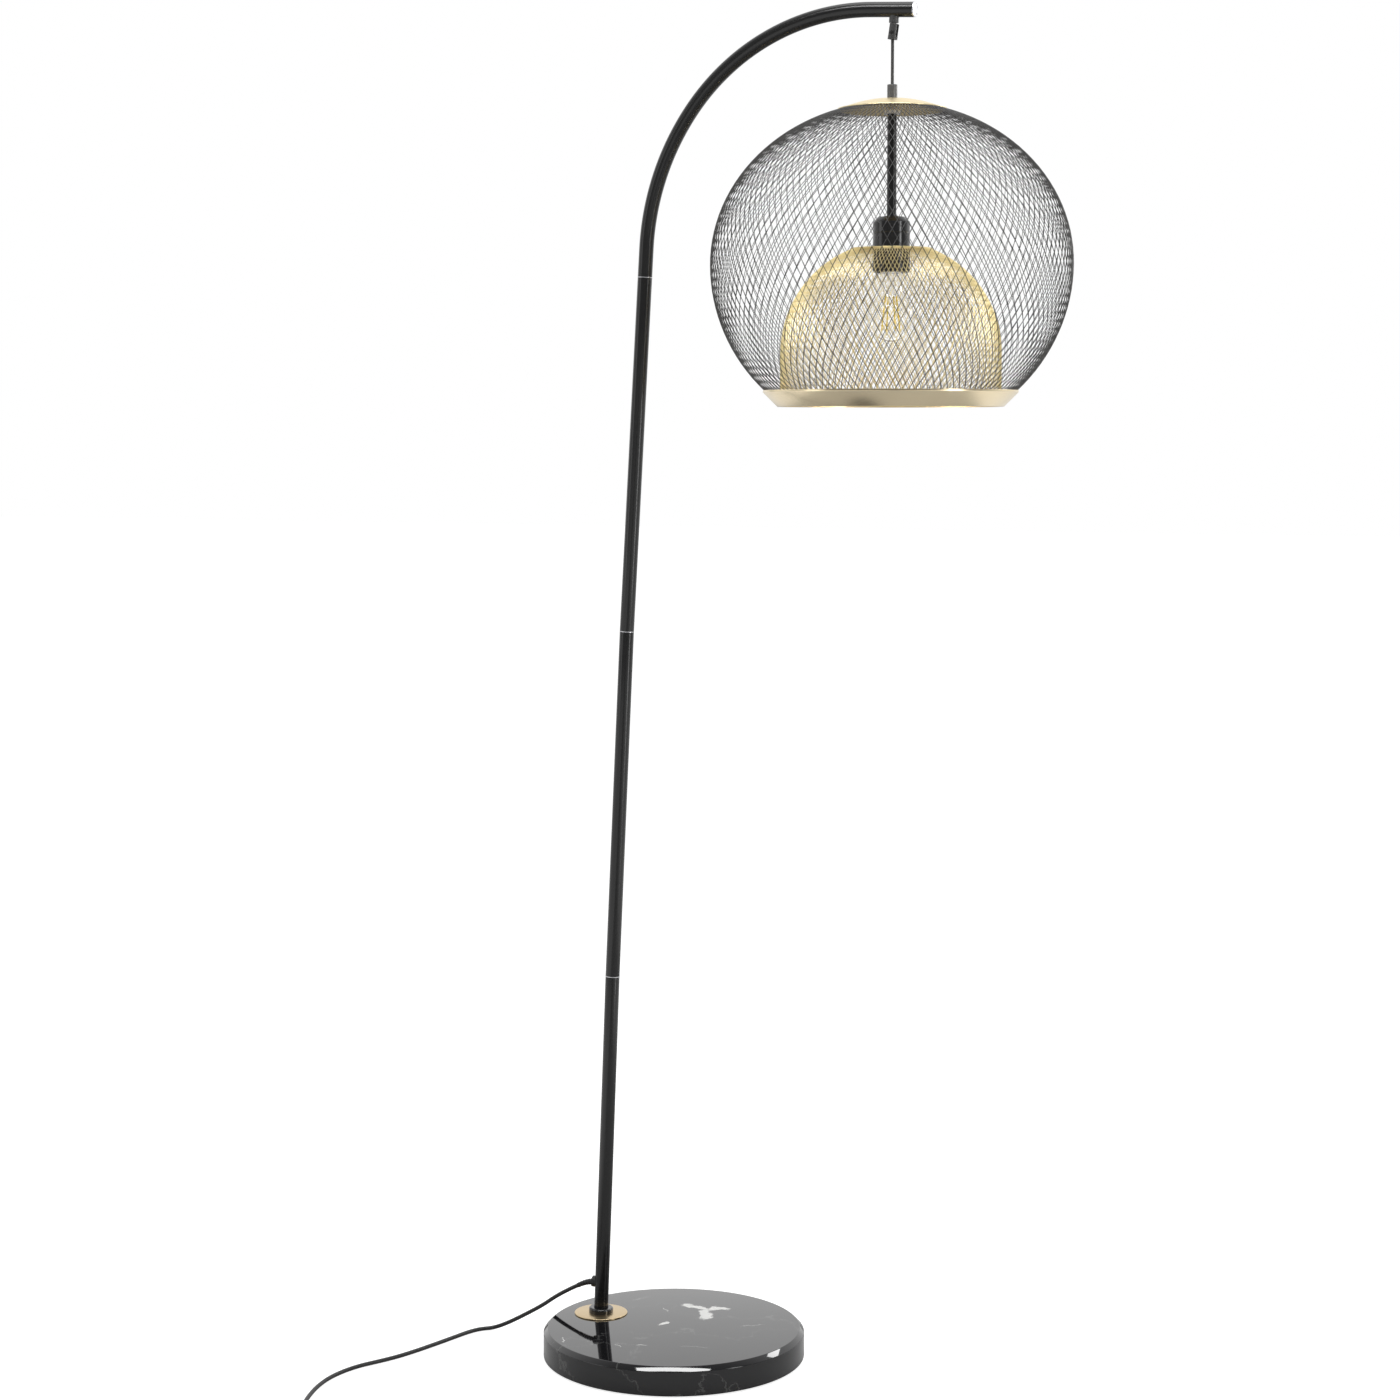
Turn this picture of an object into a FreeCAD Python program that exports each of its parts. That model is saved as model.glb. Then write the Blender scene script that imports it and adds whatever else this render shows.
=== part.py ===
import FreeCAD, Part
import bisect
import math
import os
import re

import Sketcher
from FreeCAD import Placement, Rotation, Vector

# Wire cage floor lamp: a round stone base, a black pole in three straight lengths, a bent arm, and a wire
# cage shade that hangs from the arm by a thin cord. All sizes are in millimetres. The floor is Z = 0, the
# origin is the middle of the base, and the arm reaches out along +X.

# ---------------------------------------------------------------- driving dimensions
SIZES = {
    # base
    "baseRadius": 175.0,
    "slabHeight": 38.0,
    "slabBevel": 6.0,
    "padThickness": 1.5,
    "padRadius": 170.0,
    "footX": -114.5,
    "footY": 14.0,
    "recessRadius": 24.0,
    "recessDepth": 14.0,
    "studRadius": 5.0,
    "studSlack": 1.5,
    "washerRadius": 20.0,
    "washerThickness": 2.0,
    "nutCorner": 9.2,
    "nutThickness": 8.0,
    "flangeRadius": 36.0,
    "flangeThickness": 1.6,
    "collarRadius": 16.5,
    "collarHeight": 7.0,
    "plugHeight": 28.0,
    "plugBore": 20.0,
    # pole and arm
    "tubeRadius": 9.5,
    "tubeWall": 1.0,
    "sectionLength": 465.0,
    "leanLower": 2.3,
    "leanMiddle": 2.76,
    "leanUpper": 3.35,
    "seamWidth": 1.0,
    "seamProud": 0.2,
    "spigotLength": 25.0,
    "couplerBore": 4.0,
    "armRise": 37.0,
    "armRadiusFirst": 322.0,
    "armTurnFirst": 34.5,
    "armRadiusSecond": 288.0,
    "armTurnSecond": 55.2,
    "armReach": 57.0,
    "capThickness": 1.5,
    "capSpigot": 10.0,
    "cableRadius": 2.0,
    "cableBend": 6.0,
    "cableSoftBend": 2000.0,
    # hanger and swivel clip
    "hangBack": 26.0,
    "neckRadius": 6.2,
    "neckDrop": 6.8,
    "neckSpigotRadius": 4.5,
    "neckSpigotHeight": 2.0,
    "stalkRadius": 3.3,
    "stalkBore": 2.3,
    "clipLength": 20.2,
    "clipPin": 12.3,
    "clipSlot": 7.2,
    "clipLean": 8.0,
    "clipGap": 0.5,
    "clipBore": 2.4,
    "clipMouth": 3.4,
    "screwRadius": 1.5,
    "screwHeadRadius": 2.6,
    "screwHeadHeight": 1.2,
    "screwSocket": 1.3,
    "cordPivot": 2.0,
    "hangLength": 57.6,
    # cage shade, heights measured from its widest level
    "cageRadius": 229.0,
    "cageUpperHalf": 202.0,
    "cageLowerHalf": 221.0,
    "cageTopRadius": 69.0,
    "cageDrop": 159.0,
    "cageWall": 1.2,
    "cageBar": 4.0,
    "cageWindows": 24,
    "windowAngle": 30.5,
    "windowDepth": 14.0,
    "shellPanels": 8,
    "ringProud": 2.75,
    "ringHeight": 19.4,
    "ringLip": 1.5,
    "ringWall": 2.0,
    "lipWidth": 5.6,
    "plateThickness": 1.2,
    "capRise": 14.5,
    "capWall": 1.2,
    "ferruleRadius": 6.5,
    "ferruleHeight": 17.0,
    "stemRadius": 6.0,
    "stemBore": 4.6,
    "stemLength": 133.0,
    "stemNutCorner": 11.0,
    "stemNutThickness": 4.0,
    # lamp holder, inner dome and bulb
    "holderRadius": 23.5,
    "holderCapHeight": 20.0,
    "holderShoulder": 6.0,
    "holderShellHeight": 19.0,
    "holderNeckRadius": 19.5,
    "holderNeckLength": 30.0,
    "holderWall": 2.0,
    "clampHeight": 29.0,
    "clampTaper": 3.0,
    "contactHeight": 21.5,
    "sleeveRadius": 13.6,
    "sleeveWall": 0.6,
    "domeRadius": 140.0,
    "domeGap": 3.6,
    "domeTopRadius": 52.0,
    "domeWall": 1.0,
    "domeBar": 3.2,
    "domeWindows": 24,
    "domePlateThickness": 1.5,
    "bulbBaseRadius": 13.2,
    "bulbBaseLength": 25.0,
    "bulbTipRadius": 5.0,
    "bulbTipLength": 2.0,
    "bulbRadius": 30.0,
    "bulbNeckRadius": 13.8,
    "bulbFlare": 40.0,
    "bulbDrop": 57.0,
    "bulbWall": 0.9,
    "glassStemRadius": 4.0,
    "glassStemLength": 36.0,
    "filamentDrop": 30.0,
    "filamentRadius": 0.9,
    "filamentLength": 44.0,
    "filamentTopCircle": 7.5,
    "filamentSplay": 5.5,
    "supportDrop": 2.0,
    "filamentCount": 4,
    # mains lead
    "cordRadius": 2.75,
    "grommetHeight": 42.5,
    "grommetRadius": 7.5,
    "grommetNeckRadius": 4.9,
    "grommetProud": 4.0,
    "coilTurns": 3.25,
    "coilOuter": 41.5,
    "coilReach": 60.0,
    "coilPitch": 6.6,
    "switchLength": 60.0,
    "switchWidth": 28.0,
    "switchBaseHeight": 9.0,
    "switchCoverHeight": 10.0,
    "switchWall": 1.8,
    "switchCorner": 5.0,
    "switchEdge": 2.5,
    "buttonRadius": 8.0,
    "buttonProud": 3.5,
    "buttonTravel": 2.5,
    "plugLength": 34.0,
    "plugWidth": 26.0,
    "plugCorner": 4.0,
    "bladeWidth": 6.35,
    "bladeThickness": 1.5,
    "bladeLength": 17.0,
    "bladeSpacing": 12.7,
    # clearances
    "fitGap": 0.1,
    "slideGap": 0.3,
}

# The mains lead lies on the floor through these points (X, Y, height of its middle). They are chosen along
# the lead in the photograph, from the pole to the switch, and each one is rounded by an arc.
FLOOR = SIZES["cordRadius"]
LEAD_ROUTE = [
    (-139.5, 14.0, 83.03),
    (-159.0, 13.6, 72.5),
    (-180.0, 12.8, 56.5),
    (-202.0, 11.6, 40.0),
    (-227.0, 9.6, 25.0),
    (-250.0, 6.6, 12.0),
    (-271.0, 1.0, FLOOR),
    (-287.0, -11.0, FLOOR),
    (-296.0, -31.0, FLOOR),
    (-303.0, -59.0, FLOOR),
    (-312.0, -93.0, FLOOR),
    (-322.0, -128.0, FLOOR),
    (-333.0, -160.0, FLOOR),
    (-347.0, -188.0, FLOOR),
    (-361.0, -212.0, FLOOR),
    (-370.0, -240.0, FLOOR),
    (-374.0, -272.0, FLOOR),
    (-371.0, -306.0, FLOOR),
    (-363.0, -340.0, FLOOR),
    (-352.5, -372.0, FLOOR),
    (-342.0, -399.0, FLOOR),
]
SWITCH_ENTRY = (-332.5, -422.5)

os.makedirs("parts", exist_ok=True)
doc = FreeCAD.newDocument("wire_cage_floor_lamp")
sheet = doc.addObject("Spreadsheet::Sheet", "Sizes")
for row, (word, value) in enumerate(SIZES.items(), start=1):
    sheet.set(f"A{row}", word)
    sheet.set(f"B{row}", str(value))
    sheet.setAlias(f"B{row}", word)
doc.recompute()
size = {word: float(sheet.get(word)) for word in SIZES}
nodes = []


# ---------------------------------------------------------------- small helpers
def bind(item, prop, formula):
    """Tie a property to a formula in the words of the sheet."""
    words = "|".join(sorted(SIZES, key=len, reverse=True))
    item.setExpression(prop, re.sub(rf"\b({words})\b", r"Sizes.\1", formula))


def node(item, name, place=None):
    """Name a finished sub-part and put it in its place."""
    item.Label = name
    if place is not None:
        item.Placement = place
    nodes.append(item)
    return item


def shift(item, **formulas):
    """Tie an item's place to formulas, one for each axis that is given."""
    for axis, formula in formulas.items():
        bind(item, f"Placement.Base.{axis}", formula)
    return item


def cylinder(radius, height, **place):
    item = doc.addObject("Part::Cylinder", "Round")
    bind(item, "Radius", radius)
    bind(item, "Height", height)
    return shift(item, **place)


def cone(radius_low, radius_high, height, **place):
    item = doc.addObject("Part::Cone", "Taper")
    bind(item, "Radius1", radius_low)
    bind(item, "Radius2", radius_high)
    bind(item, "Height", height)
    return shift(item, **place)


def hexagon(corner, height):
    item = doc.addObject("Part::Prism", "Hexagon")
    item.Polygon = 6
    bind(item, "Circumradius", corner)
    bind(item, "Height", height)
    return item


def cut(solid, *tools):
    for tool in tools:
        item = doc.addObject("Part::Cut", "Cut")
        item.Base = solid
        item.Tool = tool
        solid = item
    return solid


def fuse(*solids):
    item = doc.addObject("Part::MultiFuse", "Fuse")
    item.Shapes = list(solids)
    return item


def feature(name, shape, place=None):
    """A shape made straight from the kernel, where no primitive or sketch fits."""
    item = doc.addObject("Part::Feature", name)
    item.Shape = shape
    return node(item, name, place if place is not None else Placement())


def polar(radius, angle, height=0.0):
    return Vector(radius * math.cos(angle), radius * math.sin(angle), height)


def heading(angle):
    """The direction in the arm's plane that leans by an angle, in degrees, from upright towards +X."""
    return Vector(math.sin(math.radians(angle)), 0, math.cos(math.radians(angle)))


def leaning(point, angle):
    return Placement(point, Rotation(Vector(0, 1, 0), angle))


def segment(start, end):
    return Part.LineSegment(start, end).toShape()


def plane_face(points):
    return Part.Face(Part.makePolygon([Vector(x, 0, z) for x, z in points + points[:1]]))


def turned(points):
    return plane_face(points).revolve(Vector(0, 0, 0), Vector(0, 0, 1), 360)


class Track:
    """A line in the arm's plane, made of straight runs and the arcs that join them."""

    def __init__(self, start, angle):
        self.point = start
        self.angle = angle
        self.edges = []

    def run(self, length):
        end = self.point + heading(self.angle) * length
        self.edges.append(segment(self.point, end))
        self.point = end
        return self

    def bend(self, radius, turn):
        """Turn towards +X and down; a turn below zero goes the other way."""
        side = 90 if turn > 0 else -90
        centre = self.point + heading(self.angle + side) * radius
        middle = centre - heading(self.angle + side + turn / 2) * radius
        end = centre - heading(self.angle + side + turn) * radius
        self.edges.append(Part.Arc(self.point, middle, end).toShape())
        self.point = end
        self.angle += turn
        return self

    def tube(self, radius):
        """A solid tube of this radius along the track."""
        wire = Part.Wire(self.edges)
        first = self.edges[0]
        start = first.valueAt(first.FirstParameter)
        section = Part.Wire(Part.makeCircle(radius, start, first.tangentAt(first.FirstParameter)))
        return wire.makePipeShell([section], True, False)


def rounded_route(points, share=0.45):
    """Straight runs joined by tangent arcs, each as large as its two runs allow."""
    edges = []
    radii = []
    start = points[0]
    for before, corner, after in zip(points, points[1:], points[2:]):
        back = (before - corner).normalize()
        ahead = (after - corner).normalize()
        half_turn = (math.pi - back.getAngle(ahead)) / 2
        setback = share * min((before - corner).Length, (after - corner).Length)
        radius = setback / math.tan(half_turn)
        middle_way = (back + ahead).normalize()
        middle = corner + middle_way * (radius / math.cos(half_turn) - radius)
        edges.append(segment(start, corner + back * setback))
        edges.append(Part.Arc(corner + back * setback, middle, corner + ahead * setback).toShape())
        radii.append(radius)
        start = corner + ahead * setback
    edges.append(segment(start, points[-1]))
    return Part.Wire(edges), radii


# ---------------------------------------------------------------- places worked out from the sizes
slab_bottom = size["padThickness"]
slab_top = slab_bottom + size["slabHeight"]
foot = Vector(size["footX"], size["footY"], slab_top + size["flangeThickness"])
seam = size["seamWidth"] + size["fitGap"]

leans = [size["leanLower"], size["leanMiddle"], size["leanUpper"]]
starts = [foot]
ends = []
for lean, lean_after in zip(leans, leans[1:] + leans[-1:]):
    ends.append(starts[-1] + heading(lean) * size["sectionLength"])
    starts.append(ends[-1] + heading((lean + lean_after) / 2) * seam)
arm_start = starts.pop()

arm_track = Track(arm_start, leans[-1])
arm_track.run(size["armRise"])
arm_track.bend(size["armRadiusFirst"], size["armTurnFirst"])
arm_track.bend(size["armRadiusSecond"], size["armTurnSecond"])
arm_bend_end = arm_track.point
arm_track.run(size["armReach"])
arm_tip = arm_track.point
arm_angle = arm_track.angle

hang_point = arm_tip - heading(arm_angle) * size["hangBack"]
neck_angle = arm_angle + 90
pin_distance = size["tubeRadius"] + size["neckDrop"] + size["clipGap"] + size["clipPin"]
pin = hang_point + heading(neck_angle) * pin_distance
clip_angle = 180 + size["clipLean"]
below_pin = size["clipLength"] - size["clipPin"]
cord_pivot = pin + heading(clip_angle) * (below_pin - size["cordPivot"])

rim_rise = size["cageUpperHalf"] * math.sqrt(1 - (size["cageTopRadius"] / size["cageRadius"]) ** 2)
cap_top = rim_rise + size["capRise"]
ferrule_top = cap_top + size["ferruleHeight"]
shade = cord_pivot - Vector(0, 0, size["hangLength"] + ferrule_top)
shade_place = Placement(shade, Rotation())
stem_bottom = rim_rise - size["stemLength"]
shell_top = stem_bottom - size["holderCapHeight"]
plate_top = shell_top - size["holderShellHeight"]
clamp_top = plate_top - size["domePlateThickness"]

grommet_point = foot + heading(leans[0]) * (size["grommetHeight"] - size["flangeThickness"])


# ---------------------------------------------------------------- base
def plane_of(body, role):
    return next(item for item in body.Origin.OriginFeatures if item.Role == role)


def circle_sketch(body, name, radius, middle):
    """A circle on the body's own floor plane, about a given middle. Its radius follows the sheet."""
    sketch = body.newObject("Sketcher::SketchObject", name)
    sketch.AttachmentSupport = [(plane_of(body, "XY_Plane"), "")]
    sketch.MapMode = "FlatFace"
    draft_radius = size["studRadius"]
    sketch.addGeometry(Part.Circle(middle, Vector(0, 0, 1), draft_radius), False)
    sketch.addConstraint(Sketcher.Constraint("Radius", 0, draft_radius))
    bind(sketch, "Constraints[0]", radius)
    return sketch


slab = doc.addObject("PartDesign::Body", "Slab")
outline = circle_sketch(slab, "SlabOutline", "baseRadius", Vector())
slab_pad = slab.newObject("PartDesign::Pad", "SlabPad")
slab_pad.Profile = outline
bind(slab_pad, "Length", "slabHeight")
doc.recompute()
upper_edge = next(
    f"Edge{index}"
    for index, edge in enumerate(slab_pad.Shape.Edges, start=1)
    if edge.isClosed() and edge.BoundBox.ZMin > size["slabHeight"] / 2
)
bevel = slab.newObject("PartDesign::Chamfer", "SlabBevel")
bevel.Base = (slab_pad, [upper_edge])
bind(bevel, "Size", "slabBevel")
drilled_at = Vector(foot.x, foot.y, 0)
recess_sketch = circle_sketch(slab, "RecessOutline", "recessRadius", drilled_at)
recess = slab.newObject("PartDesign::Pocket", "NutRecess")
recess.Profile = recess_sketch
recess.Reversed = True
bind(recess, "Length", "recessDepth")
hole_sketch = circle_sketch(slab, "StudHoleOutline", "studRadius + studSlack", drilled_at)
stud_hole = slab.newObject("PartDesign::Pocket", "StudHole")
stud_hole.Profile = hole_sketch
stud_hole.Reversed = True
bind(stud_hole, "Length", "slabHeight")
doc.recompute()
removed = slab_pad.Shape.Volume - slab.Shape.Volume
assert removed > math.pi * size["recessRadius"] ** 2 * size["recessDepth"], "the slab's recess isn't cut"
node(slab, "base_slab", Placement(Vector(0, 0, slab_bottom), Rotation()))

pad = cut(
    cylinder("padRadius", "padThickness"),
    cylinder("recessRadius", "padThickness", x="footX", y="footY"),
)
node(pad, "base_pad")

recess_top = slab_bottom + size["recessDepth"]
below_slab = Vector(foot.x, foot.y, recess_top)
stud_tail = size["washerThickness"] + size["nutThickness"] + size["fitGap"]
stud_below = "washerThickness + nutThickness + fitGap"
stud_above = "slabHeight - recessDepth + flangeThickness + plugBore - slideGap"
stud = cylinder("studRadius", f"{stud_below} + {stud_above}")
node(stud, "foot_stud", Placement(below_slab - Vector(0, 0, stud_tail), Rotation()))
washer = cut(
    cylinder("washerRadius", "washerThickness"),
    cylinder("studRadius + fitGap", "washerThickness"),
)
node(washer, "foot_washer", Placement(below_slab - Vector(0, 0, size["washerThickness"]), Rotation()))
nut = cut(hexagon("nutCorner", "nutThickness"), cylinder("studRadius + fitGap", "nutThickness"))
nut_drop = size["washerThickness"] + size["nutThickness"]
node(nut, "foot_nut", Placement(below_slab - Vector(0, 0, nut_drop), Rotation()))
flange = cut(
    cylinder("flangeRadius", "flangeThickness"),
    cylinder("studRadius + fitGap", "flangeThickness"),
)
node(flange, "foot_flange", Placement(Vector(foot.x, foot.y, slab_top), Rotation()))


def foot_cut(radius, bore_radius, height):
    """A round piece that leans with the pole and is cut level at the flange."""
    dip = size["collarRadius"]
    outer = Part.makeCylinder(radius, height + dip, foot - heading(leans[0]) * dip, heading(leans[0]))
    if bore_radius:
        inner_start = foot - heading(leans[0]) * 2 * dip
        inner = Part.makeCylinder(bore_radius, height + 4 * dip, inner_start, heading(leans[0]))
        outer = outer.cut(inner)
    below = Part.makeBox(8 * dip, 8 * dip, 4 * dip, foot - Vector(4 * dip, 4 * dip, 4 * dip))
    return outer.cut(below)


tube_bore = size["tubeRadius"] - size["tubeWall"]
plug_solid = foot_cut(tube_bore - size["fitGap"] / 2, 0, size["plugHeight"])
stud_bore = Part.makeCylinder(size["studRadius"] + size["fitGap"], size["plugBore"], foot)
feature("foot_plug", plug_solid.cut(stud_bore))
collar_bore = size["tubeRadius"] + size["fitGap"] / 2
feature("pole_collar", foot_cut(size["collarRadius"], collar_bore, size["collarHeight"]))

# ---------------------------------------------------------------- pole
lower_tube = foot_cut(size["tubeRadius"], tube_bore, size["sectionLength"])
grommet_hole = Part.makeCylinder(
    size["grommetNeckRadius"] + size["fitGap"],
    size["collarRadius"],
    grommet_point,
    heading(leans[0] - 90),
)
feature("pole_lower", lower_tube.cut(grommet_hole))
for name, start, lean in (("pole_middle", starts[1], leans[1]), ("pole_upper", starts[2], leans[2])):
    tube = cut(
        cylinder("tubeRadius", "sectionLength"),
        cylinder("tubeRadius - tubeWall", "sectionLength"),
    )
    node(tube, name, leaning(start, lean))

coupler_names = ("coupler_lower", "coupler_middle", "coupler_upper")
for name, end, lean, lean_after in zip(coupler_names, ends, leans, leans[1:] + leans[-1:]):
    mean = (lean + lean_after) / 2
    radius = tube_bore - size["fitGap"]
    length = size["spigotLength"]
    middle = end + heading(mean) * seam / 2
    down = Part.makeCylinder(radius, length, middle, heading(lean) * -1)
    up = Part.makeCylinder(radius, length, middle, heading(lean_after))
    flange_start = middle - heading(mean) * size["seamWidth"] / 2
    rim = Part.makeCylinder(
        size["tubeRadius"] + size["seamProud"], size["seamWidth"], flange_start, heading(mean)
    )
    bore_start = middle - heading(mean) * 2 * length
    bore = Part.makeCylinder(size["couplerBore"], 4 * length, bore_start, heading(mean))
    feature(name, down.fuse([up, rim]).cut(bore).removeSplitter())

# ---------------------------------------------------------------- arm, its cap, hanger and cable
neck_hole = Part.makeCylinder(
    size["neckSpigotRadius"] + size["fitGap"],
    size["tubeRadius"] + size["neckDrop"],
    hang_point,
    heading(neck_angle),
)
arm_shape = arm_track.tube(size["tubeRadius"]).cut([arm_track.tube(tube_bore), neck_hole])
feature("arm_tube", arm_shape)

end_cap = fuse(
    cylinder("tubeRadius", "capThickness"),
    cylinder("tubeRadius - tubeWall - fitGap", "capSpigot", z="-capSpigot"),
)
node(end_cap, "arm_end_cap", leaning(arm_tip, arm_angle))

# The neck is saddled on the arm. Its hollow stalk carries the ball on which the clip swings.
neck_start = hang_point + heading(neck_angle) * (tube_bore - size["neckSpigotHeight"])
neck_body = Part.makeCylinder(
    size["neckRadius"],
    size["tubeRadius"] + size["neckDrop"],
    hang_point,
    heading(neck_angle),
).cut(
    Part.makeCylinder(
        size["tubeRadius"],
        4 * size["neckRadius"],
        hang_point - heading(arm_angle) * 2 * size["neckRadius"],
        heading(arm_angle),
    )
)
neck_spigot = Part.makeCylinder(
    size["neckSpigotRadius"],
    size["neckDrop"] + size["neckSpigotHeight"],
    neck_start,
    heading(neck_angle),
)
stalk = Part.makeCylinder(size["stalkRadius"], pin_distance - tube_bore, neck_start, heading(neck_angle))
ball = Part.makeSphere(size["stalkRadius"] + size["fitGap"], pin)
neck_bore = Part.makeCylinder(size["stalkBore"], 2 * pin_distance, hang_point, heading(neck_angle))
pin_hole = Part.makeCylinder(
    size["screwRadius"] + size["fitGap"],
    4 * size["stalkRadius"],
    pin - Vector(0, 2 * size["stalkRadius"], 0),
    Vector(0, 1, 0),
)
feature("hanger_neck", neck_body.fuse([neck_spigot, stalk, ball]).cut([neck_bore, pin_hole]))

cable_start = grommet_point - heading(leans[0] + 90) * (size["cableBend"] + size["fitGap"])
cable_track = Track(cable_start, leans[0] + 90)
cable_track.bend(size["cableBend"], -90)
soft_bend = size["cableSoftBend"]
risen = (cable_track.point - foot).dot(heading(leans[0]))
for index, (lean, lean_after) in enumerate(zip(leans, leans[1:] + leans[-1:])):
    covered = risen if index == 0 else soft_bend * math.tan(math.radians(lean - leans[index - 1]) / 2)
    turn = lean_after - lean
    setback = soft_bend * math.tan(math.radians(turn) / 2)
    joint = size["sectionLength"] + seam / (2 if index == 0 else 1)
    if turn > 0:
        cable_track.run(joint - covered - setback)
        cable_track.bend(soft_bend, turn)
last_rise = (arm_start - cable_track.point).dot(heading(leans[-1])) + size["armRise"]
cable_track.run(last_rise)
cable_track.bend(size["armRadiusFirst"], size["armTurnFirst"])
cable_track.bend(size["armRadiusSecond"], size["armTurnSecond"])
to_neck = (hang_point - arm_bend_end).dot(heading(arm_angle)) - size["cableBend"]
cable_track.run(to_neck)
cable_track.bend(size["cableBend"], 90)
cable_track.run(pin_distance - size["cableBend"] - size["stalkRadius"])
feature("pole_cable", cable_track.tube(size["cableRadius"]))

# ---------------------------------------------------------------- swivel clip
clip_top = size["clipPin"]
clip_shape = Part.makeCylinder(size["neckRadius"], size["clipLength"], Vector(0, 0, -below_pin))
rounding = Part.makeCylinder(
    clip_top, 4 * size["neckRadius"], Vector(0, -2 * size["neckRadius"], 0), Vector(0, 1, 0)
)
slot_floor = size["stalkRadius"] + size["fitGap"] + size["slideGap"]
slot = Part.makeBox(
    4 * size["neckRadius"],
    size["clipSlot"],
    clip_top + slot_floor + size["neckRadius"],
    Vector(-2 * size["neckRadius"], -size["clipSlot"] / 2, -slot_floor),
)
clip_bore = Part.makeCylinder(size["clipBore"], size["clipLength"], Vector(0, 0, -below_pin))
mouth = Part.makeCone(
    size["clipMouth"], size["clipBore"], size["cordPivot"], Vector(0, 0, -below_pin)
)
screw_way = Part.makeCylinder(
    size["screwRadius"] + size["fitGap"],
    4 * size["neckRadius"],
    Vector(0, -2 * size["neckRadius"], 0),
    Vector(0, 1, 0),
)
head_seat = size["neckRadius"] - size["screwHeadHeight"]
seats = [
    Part.makeCylinder(
        size["screwHeadRadius"] + size["fitGap"],
        2 * size["screwHeadHeight"],
        Vector(0, side * head_seat, 0),
        Vector(0, side, 0),
    )
    for side in (-1, 1)
]
clip_shape = clip_shape.common(rounding).cut([slot, clip_bore, mouth, screw_way, *seats])
clip_place = leaning(pin, size["clipLean"])
feature("swivel_clip", clip_shape, clip_place)

screws = []
for side in (-1, 1):
    tip = size["stalkBore"] + size["slideGap"]
    shank = Part.makeCylinder(
        size["screwRadius"], head_seat - tip, Vector(0, side * tip, 0), Vector(0, side, 0)
    )
    head = Part.makeCylinder(
        size["screwHeadRadius"], size["screwHeadHeight"], Vector(0, side * head_seat, 0), Vector(0, side, 0)
    )
    socket = Part.makeCylinder(
        size["screwSocket"],
        size["screwHeadHeight"],
        Vector(0, side * (head_seat + size["screwHeadHeight"] / 3), 0),
        Vector(0, side, 0),
    )
    screws.append(shank.fuse(head).cut(socket))
feature("clip_screws", Part.Compound(screws), clip_place)

# ---------------------------------------------------------------- hanging cord, ferrule, cap and stem
cord_length = size["hangLength"] + size["ferruleHeight"] / 2
hang_shape = Part.makeCylinder(size["cableRadius"], cord_length, Vector(0, 0, -cord_length)).fuse(
    Part.makeSphere(size["cableRadius"])
)
feature("hang_cord", hang_shape.removeSplitter(), Placement(cord_pivot, Rotation()))

ferrule = cut(
    cylinder("ferruleRadius", "ferruleHeight"),
    cylinder("cableRadius + slideGap", "ferruleHeight"),
)
node(ferrule, "cord_ferrule", Placement(shade + Vector(0, 0, cap_top), Rotation()))

cap_sphere = (size["cageTopRadius"] ** 2 + size["capRise"] ** 2) / (2 * size["capRise"])
cap_centre = Vector(0, 0, cap_top - cap_sphere)
cap_outer = Part.makeSphere(cap_sphere, cap_centre)
cap_inner = Part.makeSphere(cap_sphere - size["capWall"], cap_centre)
cap_band = Part.makeCylinder(size["cageRadius"], cap_sphere, Vector(0, 0, rim_rise))
stem_way = Part.makeCylinder(size["stemRadius"] + size["fitGap"], cap_sphere, Vector(0, 0, rim_rise))
feature("shade_cap", cap_outer.common(cap_band).cut([cap_inner, stem_way]), shade_place)


def cage_outline(height, inset=0.0):
    """The cage's radius at a height from its widest level, on its outside or inset from it."""
    half_height = size["cageUpperHalf"] if height > 0 else size["cageLowerHalf"]
    return (size["cageRadius"] - inset) * math.sqrt(1 - (height / (half_height - inset)) ** 2)


# the plate fits inside the cage's top rim, and the stem goes through it
plate_radius = cage_outline(rim_rise, size["cageWall"]) - 2 * size["fitGap"]
plate = Part.makeCylinder(plate_radius, size["plateThickness"])
plate_hole = Part.makeCylinder(size["stemRadius"] + size["fitGap"], size["plateThickness"])
plate_level = Vector(0, 0, rim_rise - size["plateThickness"])
feature("cage_plate", plate.cut(plate_hole), Placement(shade + plate_level, Rotation()))
cap_nut = cut(
    hexagon("stemNutCorner", "stemNutThickness"),
    cylinder("stemRadius + fitGap", "stemNutThickness"),
)
nut_level = rim_rise - size["plateThickness"] - size["stemNutThickness"]
node(cap_nut, "cap_nut", Placement(shade + Vector(0, 0, nut_level), Rotation()))

stem_height = "stemLength + capRise - slideGap"
stem = cut(cylinder("stemRadius", stem_height), cylinder("stemBore", stem_height))
node(stem, "shade_stem", Placement(shade + Vector(0, 0, stem_bottom), Rotation()))
stem_cable = cylinder(
    "cableRadius", "holderCapHeight + stemLength + capRise + ferruleHeight / 2 - slideGap"
)
node(stem_cable, "stem_cable", Placement(shade + Vector(0, 0, shell_top), Rotation()))


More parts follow.
